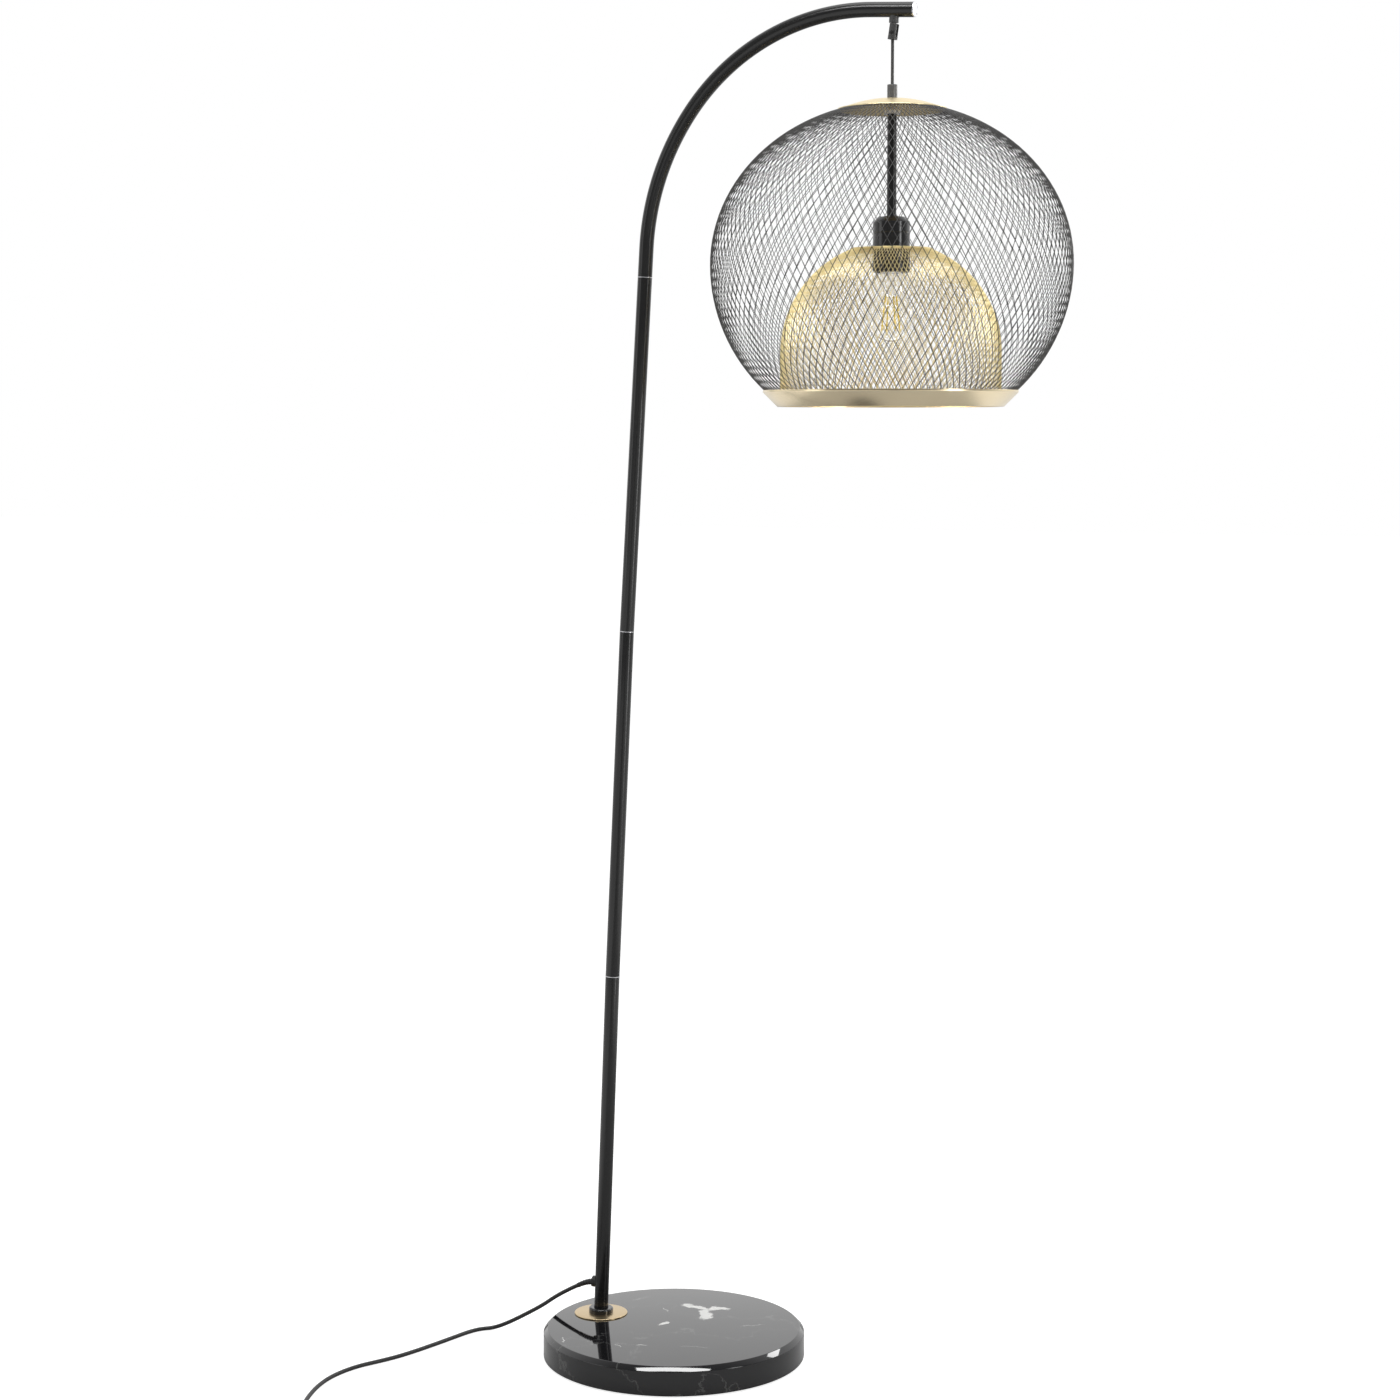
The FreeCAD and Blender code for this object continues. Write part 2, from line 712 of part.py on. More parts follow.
# ---------------------------------------------------------------- cage and inner dome
def holed_shell(section, profile, count, bar, side, border):
    """A turned shell with rows of diamond windows, made as one sector and repeated round the axis.

    section is the wall's face in the XZ plane, profile its outer line as (radius, height) points,
    count the windows in a row, bar the width left between them and side a window's side length.
    The sectors are sewn into equal panels that meet face to face, each a closed solid."""
    along = [0.0]
    for here, there in zip(profile, profile[1:]):
        along.append(along[-1] + math.dist(here, there))

    def at(distance):
        index = min(max(bisect.bisect_left(along, distance), 1), len(profile) - 1)
        part = (distance - along[index - 1]) / (along[index] - along[index - 1])
        low, high = profile[index - 1], profile[index]
        return tuple(low[axis] + part * (high[axis] - low[axis]) for axis in (0, 1))

    half = math.pi / count
    rows = [0.0]
    while True:
        step = math.sqrt(max(side**2 - (at(rows[-1])[0] * half) ** 2, 1.0))
        if rows[-1] + step > along[-1] - border:
            break
        rows.append(rows[-1] + step)
    rows = [row * along[-1] / rows[-1] for row in rows]

    sector = section.copy()
    sector.rotate(Vector(0, 0, 0), Vector(0, 0, 1), -math.degrees(half))
    sector = sector.revolve(Vector(0, 0, 0), Vector(0, 0, 1), math.degrees(2 * half))
    windows = []
    last = len(rows) - 1
    for index, row in enumerate(rows):
        share = 1 - bar / (2 * at(row)[0] * half * math.cos(math.radians(size["windowAngle"])))
        # the first and last rows are half windows, whose straight side runs along the shell's border
        level = min(max(row, border), along[-1] - border)
        step = rows[1] if index == 0 else row - rows[index - 1]
        width = half * (share - abs(level - row) / step)
        radius, height = at(level)
        for turn in (0.0,) if index % 2 else (-half, half):
            corners = [polar(radius, turn - width, height)]
            if index > 0:
                low = at(row - (row - rows[index - 1]) * share)
                corners.append(polar(low[0], turn, low[1]))
            corners.append(polar(radius, turn + width, height))
            if index < last:
                high = at(row + (rows[index + 1] - row) * share)
                corners.append(polar(high[0], turn, high[1]))
            out = polar(radius, turn, height).normalize() * size["windowDepth"]
            loops = [
                Part.makePolygon([corner + offset for corner in corners + corners[:1]])
                for offset in (out * -1, out)
            ]
            windows.append(Part.makeLoft(loops, True, True))
    sector = sector.cut(windows)

    skin, low_side, high_side = [], [], []
    for face in sector.Faces:
        middle = face.CenterOfMass
        bearing = math.atan2(middle.y, middle.x)
        if face.Surface.TypeId != "Part::GeomPlane" or abs(abs(bearing) - half) > 1e-7:
            skin.append(face)
        elif bearing < 0:
            low_side.append(face)
        else:
            high_side.append(face)
    panels = int(size["shellPanels"])
    sectors = count // panels
    solids = []
    for index in range(panels):
        faces = []
        for step in range(sectors):
            ends = (low_side if step == 0 else []) + (high_side if step == sectors - 1 else [])
            for face in skin + ends:
                copy = face.copy()
                turn = math.degrees(2 * half) * (index * sectors + step)
                copy.rotate(Vector(0, 0, 0), Vector(0, 0, 1), turn)
                faces.append(copy)
        sewn = Part.Compound(faces)
        sewn.sewShape(1e-4)
        solid = Part.Solid(sewn.Shells[0])
        if solid.Volume < 0:
            solid.reverse()
        solids.append(solid)
    shell = Part.Compound(solids)
    print(f"windows {count * len(rows)}, panels {len(solids)}, volume {shell.Volume:.0f}")
    return shell


def oval_arc(radius, half_height, low, high):
    """A stretch of an oval in the XZ plane, between two angles from its widest level."""
    oval = Part.Ellipse(Vector(0, 0, 0), max(radius, half_height), min(radius, half_height))
    oval.rotate(Placement(Vector(0, 0, 0), Rotation(Vector(1, 0, 0), 90)))
    quarter = 0.0
    if half_height > radius:
        # a tall oval's first axis stands up, and its angles count from there
        oval.rotate(Placement(Vector(0, 0, 0), Rotation(Vector(0, 1, 0), -90)))
        quarter = math.pi / 2
    return Part.ArcOfEllipse(oval, low - quarter, high - quarter).toShape()


def cage_line(inset):
    """The cage's outline, from its lower edge to its top rim, as two stretches of oval."""
    radius = size["cageRadius"] - inset
    lower_half = size["cageLowerHalf"] - inset
    upper_half = size["cageUpperHalf"] - inset
    lower = oval_arc(radius, lower_half, -math.asin(size["cageDrop"] / lower_half), 0)
    upper = oval_arc(radius, upper_half, 0, math.asin(rim_rise / upper_half))
    return lower, upper


outer_line = cage_line(0)
inner_line = cage_line(size["cageWall"])
top_join = segment(outer_line[1].Vertexes[-1].Point, inner_line[1].Vertexes[-1].Point)
low_join = segment(outer_line[0].Vertexes[0].Point, inner_line[0].Vertexes[0].Point)
cage_edges = [*outer_line, *inner_line, top_join, low_join]
cage_section = Part.Face(Part.Wire(Part.__sortEdges__(cage_edges)))

LINE_STEPS = 300
cage_profile = []
for step in range(LINE_STEPS + 1):
    height = -size["cageDrop"] + (rim_rise + size["cageDrop"]) * step / LINE_STEPS
    cage_profile.append((cage_outline(height), height))
cage_side = math.pi * size["cageRadius"] / size["cageWindows"]
cage_side /= math.sin(math.radians(size["windowAngle"]))
cage = holed_shell(
    cage_section,
    cage_profile,
    int(size["cageWindows"]),
    size["cageBar"],
    cage_side,
    size["cageBar"],
)
feature("outer_cage", cage, shade_place)

ring_top = -size["cageDrop"] + size["ringLip"]
ring_bottom = ring_top - size["ringLip"] * 2 - size["ringHeight"] + size["ringLip"]
cage_low_radius = cage_outline(-size["cageDrop"])
ring_wide = cage_low_radius + size["ringProud"]
ring_narrow = size["domeRadius"] + size["domeGap"]
lip_top = ring_bottom + size["ringLip"]
wall_run = size["ringWall"] * math.sqrt(2)
ring_points = [
    (ring_wide, ring_top),
    (ring_wide, ring_top - 2 * size["ringLip"]),
    (ring_narrow, ring_bottom),
    (ring_narrow - size["lipWidth"], ring_bottom),
    (ring_narrow - size["lipWidth"], lip_top),
    (ring_narrow - size["ringWall"], lip_top),
    (ring_wide - size["ringLip"] - wall_run, ring_top - 2 * size["ringLip"]),
    (ring_wide - size["ringLip"] - wall_run, -size["cageDrop"]),
    (cage_low_radius + size["fitGap"], -size["cageDrop"]),
    (cage_outline(ring_top) + size["fitGap"], ring_top),
]
feature("bottom_ring", turned(ring_points), shade_place)

# The inner dome is part of a sphere over a straight wall that stands on the ring's lip.
dome_rise = math.sqrt(size["domeRadius"] ** 2 - size["domeTopRadius"] ** 2)
dome_centre = clamp_top - dome_rise
dome_angle = math.asin(dome_rise / size["domeRadius"])


def dome_line(inset):
    radius = size["domeRadius"] - inset
    top = math.asin((dome_rise - inset) / radius)
    points = [Vector(radius * math.cos(a), 0, dome_centre + radius * math.sin(a)) for a in (0, top / 2, top)]
    wall = segment(Vector(radius, 0, lip_top), points[0])
    return wall, Part.Arc(*points).toShape(), points[-1]


dome_wall = size["domeWall"]
outside = dome_line(0)
inside = dome_line(dome_wall)
dome_edges = [
    *outside[:2],
    *inside[:2],
    segment(outside[2], inside[2] + Vector(0, 0, dome_wall)),
    segment(inside[2] + Vector(0, 0, dome_wall), inside[2]),
    segment(Vector(size["domeRadius"], 0, lip_top), Vector(size["domeRadius"] - dome_wall, 0, lip_top)),
]
dome_section = Part.Face(Part.Wire(Part.__sortEdges__(dome_edges)))
dome_profile = [(size["domeRadius"], lip_top)]
for step in range(LINE_STEPS + 1):
    angle = dome_angle * step / LINE_STEPS
    height = dome_centre + size["domeRadius"] * math.sin(angle)
    dome_profile.append((size["domeRadius"] * math.cos(angle), height))
dome_side = math.pi * size["domeRadius"] / size["domeWindows"]
dome_side /= math.sin(math.radians(size["windowAngle"]))
dome = holed_shell(
    dome_section,
    dome_profile,
    int(size["domeWindows"]),
    size["domeBar"],
    dome_side,
    size["domeBar"],
)
feature("inner_dome", dome, shade_place)

dome_plate = cut(
    cylinder("domeTopRadius", "domePlateThickness"),
    cylinder("holderNeckRadius + fitGap", "domePlateThickness"),
)
node(dome_plate, "dome_plate", Placement(shade + Vector(0, 0, clamp_top), Rotation()))

# ---------------------------------------------------------------- lamp holder
holder_cap = cut(
    fuse(
        cylinder("holderRadius", "holderCapHeight - holderShoulder"),
        cone(
            "holderRadius",
            "holderRadius - holderShoulder",
            "holderShoulder",
            z="holderCapHeight - holderShoulder",
        ),
    ),
    cylinder("holderRadius - holderWall", "holderCapHeight - holderShoulder - holderWall"),
    cylinder("stemBore", "holderCapHeight"),
)
node(holder_cap, "holder_cap", Placement(shade + Vector(0, 0, shell_top), Rotation()))
holder_shell = cut(
    fuse(
        cylinder("holderRadius", "holderShellHeight"),
        cylinder("holderNeckRadius", "holderNeckLength", z="-holderNeckLength"),
    ),
    cylinder("holderNeckRadius - holderWall", "holderShellHeight + holderNeckLength", z="-holderNeckLength"),
)
node(holder_shell, "holder_shell", Placement(shade + Vector(0, 0, plate_top), Rotation()))
clamp = cut(
    fuse(
        cone("holderRadius - clampTaper", "holderRadius", "clampTaper"),
        cylinder("holderRadius", "clampHeight - clampTaper", z="clampTaper"),
    ),
    cylinder("holderNeckRadius + fitGap", "clampHeight"),
)
clamp_place = Placement(shade + Vector(0, 0, clamp_top - size["clampHeight"]), Rotation())
node(clamp, "holder_ring", clamp_place)
contacts = cut(
    cylinder("holderNeckRadius - holderWall - fitGap", "contactHeight"),
    cylinder("cableRadius + fitGap", "contactHeight"),
)
contact_level = shell_top - size["contactHeight"]
node(contacts, "holder_contacts", Placement(shade + Vector(0, 0, contact_level), Rotation()))
sleeve_length = "holderShellHeight + holderNeckLength - contactHeight"
sleeve = cut(cylinder("sleeveRadius + sleeveWall", sleeve_length), cylinder("sleeveRadius", sleeve_length))
sleeve_level = plate_top - size["holderNeckLength"]
node(sleeve, "holder_sleeve", Placement(shade + Vector(0, 0, sleeve_level), Rotation()))

# ---------------------------------------------------------------- bulb, its top is the screw base's shoulder
bulb_level = plate_top - size["holderNeckLength"]
bulb_place = Placement(shade + Vector(0, 0, bulb_level), Rotation())
bulb_base = fuse(
    cylinder("bulbBaseRadius", "bulbBaseLength"),
    cylinder("bulbTipRadius", "bulbTipLength", z="bulbBaseLength"),
)
node(bulb_base, "bulb_base", bulb_place)


def bulb_outline(inset):
    """The glass from its neck, through the hollow flare, to the round end, as edges in the XZ plane."""
    ball = size["bulbRadius"] - inset
    neck = size["bulbNeckRadius"] - inset
    flare = size["bulbFlare"] + inset
    ball_centre = -size["bulbDrop"]
    flare_level = ball_centre + math.sqrt((ball + flare) ** 2 - (neck + flare) ** 2)
    meet_angle = math.atan2(flare_level - ball_centre, neck + flare)
    mid_flare = math.pi + meet_angle / 2
    flare_centre = Vector(neck + flare, 0, flare_level)
    first = Vector(neck, 0, flare_level)
    middle = flare_centre + Vector(math.cos(mid_flare), 0, math.sin(mid_flare)) * flare
    meet = Vector(math.cos(meet_angle), 0, math.sin(meet_angle)) * ball + Vector(0, 0, ball_centre)
    low_angle = (meet_angle - math.pi / 2) / 2
    low = Vector(math.cos(low_angle), 0, math.sin(low_angle)) * ball + Vector(0, 0, ball_centre)
    pole = Vector(0, 0, ball_centre - ball)
    top = Vector(neck, 0, 0 if inset == 0 else -inset)
    edges = [
        segment(top, first),
        Part.Arc(first, middle, meet).toShape(),
        Part.Arc(meet, low, pole).toShape(),
        segment(pole, Vector(0, 0, top.z)),
        segment(Vector(0, 0, top.z), top),
    ]
    face = Part.Face(Part.Wire(edges))
    return face.revolve(Vector(0, 0, 0), Vector(0, 0, 1), 360)


feature("bulb_glass", bulb_outline(0).cut(bulb_outline(size["bulbWall"])), bulb_place)
glass_stem_top = -size["bulbWall"]
glass_stem = cut(
    cylinder("glassStemRadius", "glassStemLength"),
    cylinder("glassStemRadius - bulbWall", "glassStemLength - bulbWall", z="bulbWall"),
)
stem_drop = Vector(0, 0, bulb_level + glass_stem_top - size["glassStemLength"])
node(glass_stem, "bulb_stem", Placement(shade + stem_drop, Rotation()))
filament_top = -size["filamentDrop"]
splay = math.degrees(math.atan2(size["filamentSplay"], size["filamentLength"]))
filaments = []
for index in range(int(size["filamentCount"])):
    angle = 2 * math.pi * index / size["filamentCount"] + math.pi / 4
    top = polar(size["filamentTopCircle"], angle, filament_top)
    foot_end = polar(size["filamentTopCircle"] + size["filamentSplay"], angle)
    foot_end.z = filament_top - size["filamentLength"]
    way = foot_end - top
    rod = Part.makeCylinder(size["filamentRadius"], way.Length, top, way)
    inward = polar(size["glassStemRadius"] + size["fitGap"], angle, filament_top - size["supportDrop"])
    wire_way = top + way * (size["supportDrop"] / way.Length) - inward
    rod = rod.fuse(Part.makeCylinder(size["filamentRadius"] / 2, wire_way.Length, inward, wire_way))
    filaments.append(rod)
feature("bulb_filaments", Part.Compound(filaments), bulb_place)

# ---------------------------------------------------------------- mains lead
out_way = heading(leans[0] - 90)
grommet_reach = size["tubeRadius"] + size["grommetProud"]
head = Part.makeCylinder(size["grommetRadius"], grommet_reach, grommet_point, out_way)
tube_space = Part.makeCylinder(
    size["tubeRadius"],
    4 * size["grommetRadius"],
    grommet_point - heading(leans[0]) * 2 * size["grommetRadius"],
    heading(leans[0]),
)
bushing_start = tube_bore - 2 * size["tubeWall"]
bushing = Part.makeCylinder(
    size["grommetNeckRadius"],
    grommet_reach - bushing_start,
    grommet_point + out_way * bushing_start,
    out_way,
)
grommet_bore = Part.makeCylinder(
    size["cordRadius"] + size["fitGap"], 2 * grommet_reach, grommet_point, out_way
)
feature("cord_grommet", head.cut(tube_space).fuse(bushing).cut(grommet_bore))

route_start = grommet_point + out_way * (size["cableBend"] + size["fitGap"])
entry = Vector(SWITCH_ENTRY[0], SWITCH_ENTRY[1], size["cordRadius"])
route = [route_start, *[Vector(*point) for point in LEAD_ROUTE], entry]
lead_wire, lead_radii = rounded_route(route)
start_edge = lead_wire.Edges[0]
lead_section = Part.Wire(
    Part.makeCircle(size["cordRadius"], route_start, start_edge.tangentAt(start_edge.FirstParameter))
)
lead = lead_wire.makePipeShell([lead_section], True, False)
feature("mains_cord", lead)
lead_share = lead.Volume / (math.pi * size["cordRadius"] ** 2 * lead_wire.Length)
print(f"lead {lead_wire.Length:.0f} mm, radii {min(lead_radii):.0f} to {max(lead_radii):.0f} mm")
print("radii", [round(radius) for radius in lead_radii], f"volume share {lead_share:.4f}")

# switch, in line with the lead
way = (entry - route[-2]).normalize()
switch_turn = Rotation(Vector(0, 0, 1), math.degrees(math.atan2(way.y, way.x)))
switch_place = Placement(Vector(entry.x, entry.y, 0), switch_turn)


def rounded_block(length, width, height, corner, start=0.0, base=0.0):
    box = Part.makeBox(length, width, height, Vector(start, -width / 2, base))
    uprights = [edge for edge in box.Edges if edge.BoundBox.ZLength > height / 2]
    return box.makeFillet(corner, uprights)


wall = size["switchWall"]
base_height = size["switchBaseHeight"]
cover_height = size["switchCoverHeight"]
switch_base = rounded_block(size["switchLength"], size["switchWidth"], base_height, size["switchCorner"])
tray_length = size["switchLength"] - 2 * wall
tray_width = size["switchWidth"] - 2 * wall
tray_corner = size["switchCorner"] - wall
tray = rounded_block(tray_length, tray_width, base_height, tray_corner, wall, wall)
feature("switch_base", switch_base.cut(tray), switch_place)

cover_top = base_height + cover_height
switch_cover = rounded_block(
    size["switchLength"], size["switchWidth"], cover_height, size["switchCorner"], base=base_height
)
top_edges = [edge for edge in switch_cover.Edges if edge.BoundBox.ZMin > cover_top - size["fitGap"]]
switch_cover = switch_cover.makeFillet(size["switchEdge"], top_edges)
hollow = rounded_block(tray_length, tray_width, cover_height - wall, tray_corner, wall, base_height)
button_middle = Vector(size["switchLength"] / 2, 0, 0)
button_way = Part.makeCylinder(size["buttonRadius"] + size["slideGap"], 2 * cover_top, button_middle)
feature("switch_cover", switch_cover.cut([hollow, button_way]), switch_place)

button_low = wall + size["buttonTravel"] + size["slideGap"]
button_top = cover_top + size["buttonProud"]
button = Part.makeCylinder(
    size["buttonRadius"], button_top - button_low, button_middle + Vector(0, 0, button_low)
)
button_rim = [edge for edge in button.Edges if edge.BoundBox.ZMin > button_top - size["fitGap"]]
feature("switch_button", button.makeFillet(size["seamWidth"], button_rim), switch_place)

# The put-away length is a round coil of two layers. The lead joins it by a wider quarter turn. Its bottom
# layer winds in, it climbs in the half turn where it turns back, its top layer winds out, and the lead
# leaves it by another wider quarter turn.
diameter = 2 * size["cordRadius"]
coil_start = Vector(size["switchLength"], 0, size["cordRadius"])
join_start = coil_start + Vector(diameter, 0, 0)
coil_centre = join_start + Vector(size["coilReach"] - size["coilOuter"], size["coilReach"], 0)
coil_inner = size["coilOuter"] - size["coilPitch"] * size["coilTurns"]
climb_start = size["coilTurns"]
climb_end = climb_start + 0.5
coil_total = climb_end + size["coilTurns"]


def coil_point(turns):
    """The middle of the lead when it has gone round the coil by a number of turns."""
    if turns <= climb_start:
        radius = size["coilOuter"] - size["coilPitch"] * turns
        level = 0.0
    elif turns < climb_end:
        radius = coil_inner
        level = size["coilPitch"] * (turns - climb_start) / (climb_end - climb_start)
    else:
        radius = coil_inner + size["coilPitch"] * (turns - climb_end)
        level = size["coilPitch"]
    return coil_centre + polar(radius, 2 * math.pi * turns, level)


def coil_way(turns):
    """The lead's direction there."""
    if turns in (0.0, coil_total):
        return polar(1.0, 2 * math.pi * turns + math.pi / 2)
    step = 1e-5
    return (coil_point(turns + step) - coil_point(turns - step)).normalize()


def biarc(start, start_way, end, end_way):
    """Two arcs that leave one point and reach another in given directions."""
    across = end - start
    ways = start_way + end_way
    product = 2 * (1 - start_way.dot(end_way))
    reach = across.dot(ways)
    root = math.sqrt(reach**2 + across.dot(across) * product)
    length = (root - reach) / product
    first_corner = start + start_way * length
    second_corner = end - end_way * length
    join = (first_corner + second_corner) * 0.5
    arcs = []
    for low, corner, high in ((start, first_corner, join), (join, second_corner, end)):
        back = (low - corner).normalize()
        ahead = (high - corner).normalize()
        half_turn = (math.pi - back.getAngle(ahead)) / 2
        radius = length / math.tan(half_turn)
        middle = corner + (back + ahead).normalize() * (radius / math.cos(half_turn) - radius)
        arcs.append(Part.Arc(low, middle, high).toShape())
    return arcs


coil_edges = [segment(coil_start, join_start)]
coil_edges += biarc(join_start, Vector(1, 0, 0), coil_point(0.0), coil_way(0.0))
quarters = int(round(coil_total * 4))
for index in range(quarters):
    low, high = index / 4, (index + 1) / 4
    coil_edges += biarc(coil_point(low), coil_way(low), coil_point(high), coil_way(high))
coil_last = coil_point(coil_total)
last_way = coil_way(coil_total)
exit_way = last_way.cross(Vector(0, 0, -1))
coil_exit = coil_last + (last_way + exit_way) * size["coilReach"]
coil_edges += biarc(coil_last, last_way, coil_exit, exit_way)
coil_end = coil_exit + exit_way * diameter
coil_edges.append(segment(coil_exit, coil_end))
coil_wire = Part.Wire(coil_edges)
coil_section = Part.Wire(Part.makeCircle(size["cordRadius"], coil_start, Vector(1, 0, 0)))
coil_shape = coil_wire.makePipeShell([coil_section], True, False)
feature("mains_coil", coil_shape, switch_place)
coil_share = coil_shape.Volume / (math.pi * size["cordRadius"] ** 2 * coil_wire.Length)
SAMPLES = 1500
samples = coil_wire.discretize(SAMPLES)
spacing = coil_wire.Length / (SAMPLES - 1)
apart = int(3 * diameter / spacing)
nearest = min(
    (samples[one] - samples[two]).Length
    for one in range(0, SAMPLES, 3)
    for two in range(one + apart, SAMPLES, 3)
)
print(f"coil {coil_wire.Length:.0f} mm, least gap {nearest - diameter:.2f} mm, share {coil_share:.4f}")
print(f"whole lead {coil_wire.Length + lead_wire.Length:.0f} mm")

# plug, lying flat on the floor at the height of the coil's upper layer
plug_half = coil_end.z
plug_turn = Rotation(Vector(0, 0, 1), math.degrees(math.atan2(exit_way.y, exit_way.x)))
plug_place = switch_place.multiply(Placement(Vector(coil_end.x, coil_end.y, 0), plug_turn))
plug_body = rounded_block(size["plugLength"], size["plugWidth"], 2 * plug_half, size["plugCorner"])
feature("plug_body", plug_body, plug_place)
blades = []
for side in (-1, 1):
    low_side = side * size["bladeSpacing"] / 2 - size["bladeThickness"] / 2
    corner = Vector(size["plugLength"], low_side, plug_half - size["bladeWidth"] / 2)
    blades.append(Part.makeBox(size["bladeLength"], size["bladeThickness"], size["bladeWidth"], corner))
feature("plug_pins", Part.Compound(blades), plug_place)

# ---------------------------------------------------------------- checks and files
doc.recompute()
for item in doc.Objects:
    if "Invalid" in item.State or "Error" in item.State:
        raise RuntimeError(f"{item.Label} failed: {item.State}")
for item in nodes:
    if item.Shape.isNull() or not item.Shape.isValid() or item.Shape.Volume <= 0:
        raise RuntimeError(f"{item.Label} has no sound shape")
for item in nodes:
    item.Shape.exportStep(f"parts/{item.Label}.step")
print(f"{len(nodes)} nodes")
print("pin", [round(value, 2) for value in pin], "cord pivot", [round(value, 2) for value in cord_pivot])
print("hang point", [round(value, 2) for value in hang_point], "tip", [round(value, 2) for value in arm_tip])
print("switch", [round(value, 2) for value in entry], "way", [round(value, 4) for value in way])
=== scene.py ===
"""Wire cage floor lamp: the looks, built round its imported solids.

Sizes in the classes are in millimetres. Blender's own lengths are metres, so places are scaled by MM.
"""

import logging
import math
from collections.abc import Callable, Iterator, Sequence
from contextlib import contextmanager
from dataclasses import dataclass, field
from enum import Enum

import bmesh
import bpy
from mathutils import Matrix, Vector


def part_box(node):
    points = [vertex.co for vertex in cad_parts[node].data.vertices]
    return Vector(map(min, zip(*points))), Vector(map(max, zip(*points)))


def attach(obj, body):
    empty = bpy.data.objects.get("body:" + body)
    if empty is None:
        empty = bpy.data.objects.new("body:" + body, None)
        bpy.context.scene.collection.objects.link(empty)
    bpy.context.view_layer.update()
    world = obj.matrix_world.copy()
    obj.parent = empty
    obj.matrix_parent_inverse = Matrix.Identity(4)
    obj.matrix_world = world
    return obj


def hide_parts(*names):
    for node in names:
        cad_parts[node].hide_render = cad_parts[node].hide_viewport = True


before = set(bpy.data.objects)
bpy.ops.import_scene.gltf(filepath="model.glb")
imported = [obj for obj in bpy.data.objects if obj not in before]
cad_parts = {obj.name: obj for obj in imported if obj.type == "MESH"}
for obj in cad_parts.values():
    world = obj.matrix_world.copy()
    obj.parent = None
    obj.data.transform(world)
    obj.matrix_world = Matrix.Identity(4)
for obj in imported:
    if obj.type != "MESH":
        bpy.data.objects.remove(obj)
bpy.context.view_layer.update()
LOG = logging.getLogger("wire_cage_floor_lamp")
MM = 0.001

Triple = tuple[float, float, float]
Outline = list[tuple[float, float]]
Piece = bpy.types.Object


def middle_of(node: str) -> Vector:
    """The middle of a solid's box."""
    low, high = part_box(node)
    return (low + high) / 2


def rise_of(node: str) -> float:
    """The height of a solid's box, in millimetres."""
    low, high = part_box(node)
    return (high.z - low.z) / MM


def radius_of(node: str) -> float:
    """Half the width of a solid's box, in millimetres."""
    low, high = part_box(node)
    return (high.x - low.x) / 2 / MM


STEM_AXIS = tuple(middle_of("shade_stem").xy)
FOOT_AXIS = tuple(middle_of("foot_flange").xy)


def on_stem(level: float) -> Vector:
    """The point of the shade's axis at a height, in metres."""
    return Vector((*STEM_AXIS, level))


# ---------------------------------------------------------------- shader building
class Value:
    """A number in a shader, so that its sums are written as Python expressions."""

    def __init__(self, graph: "Graph", socket: bpy.types.NodeSocket) -> None:
        """Wrap one output socket of a graph."""
        self.graph = graph
        self.socket = socket

    def __add__(self, other: "Value | float") -> "Value":
        """Sum."""
        return self.graph.math("ADD", self, other)

    def __sub__(self, other: "Value | float") -> "Value":
        """Difference."""
        return self.graph.math("SUBTRACT", self, other)

    def __rsub__(self, other: float) -> "Value":
        """Difference from a plain number."""
        return self.graph.math("SUBTRACT", other, self)

    def __mul__(self, other: "Value | float") -> "Value":
        """Product."""
        return self.graph.math("MULTIPLY", self, other)

    __radd__ = __add__
    __rmul__ = __mul__


Feed = Value | bpy.types.NodeSocket | float | tuple


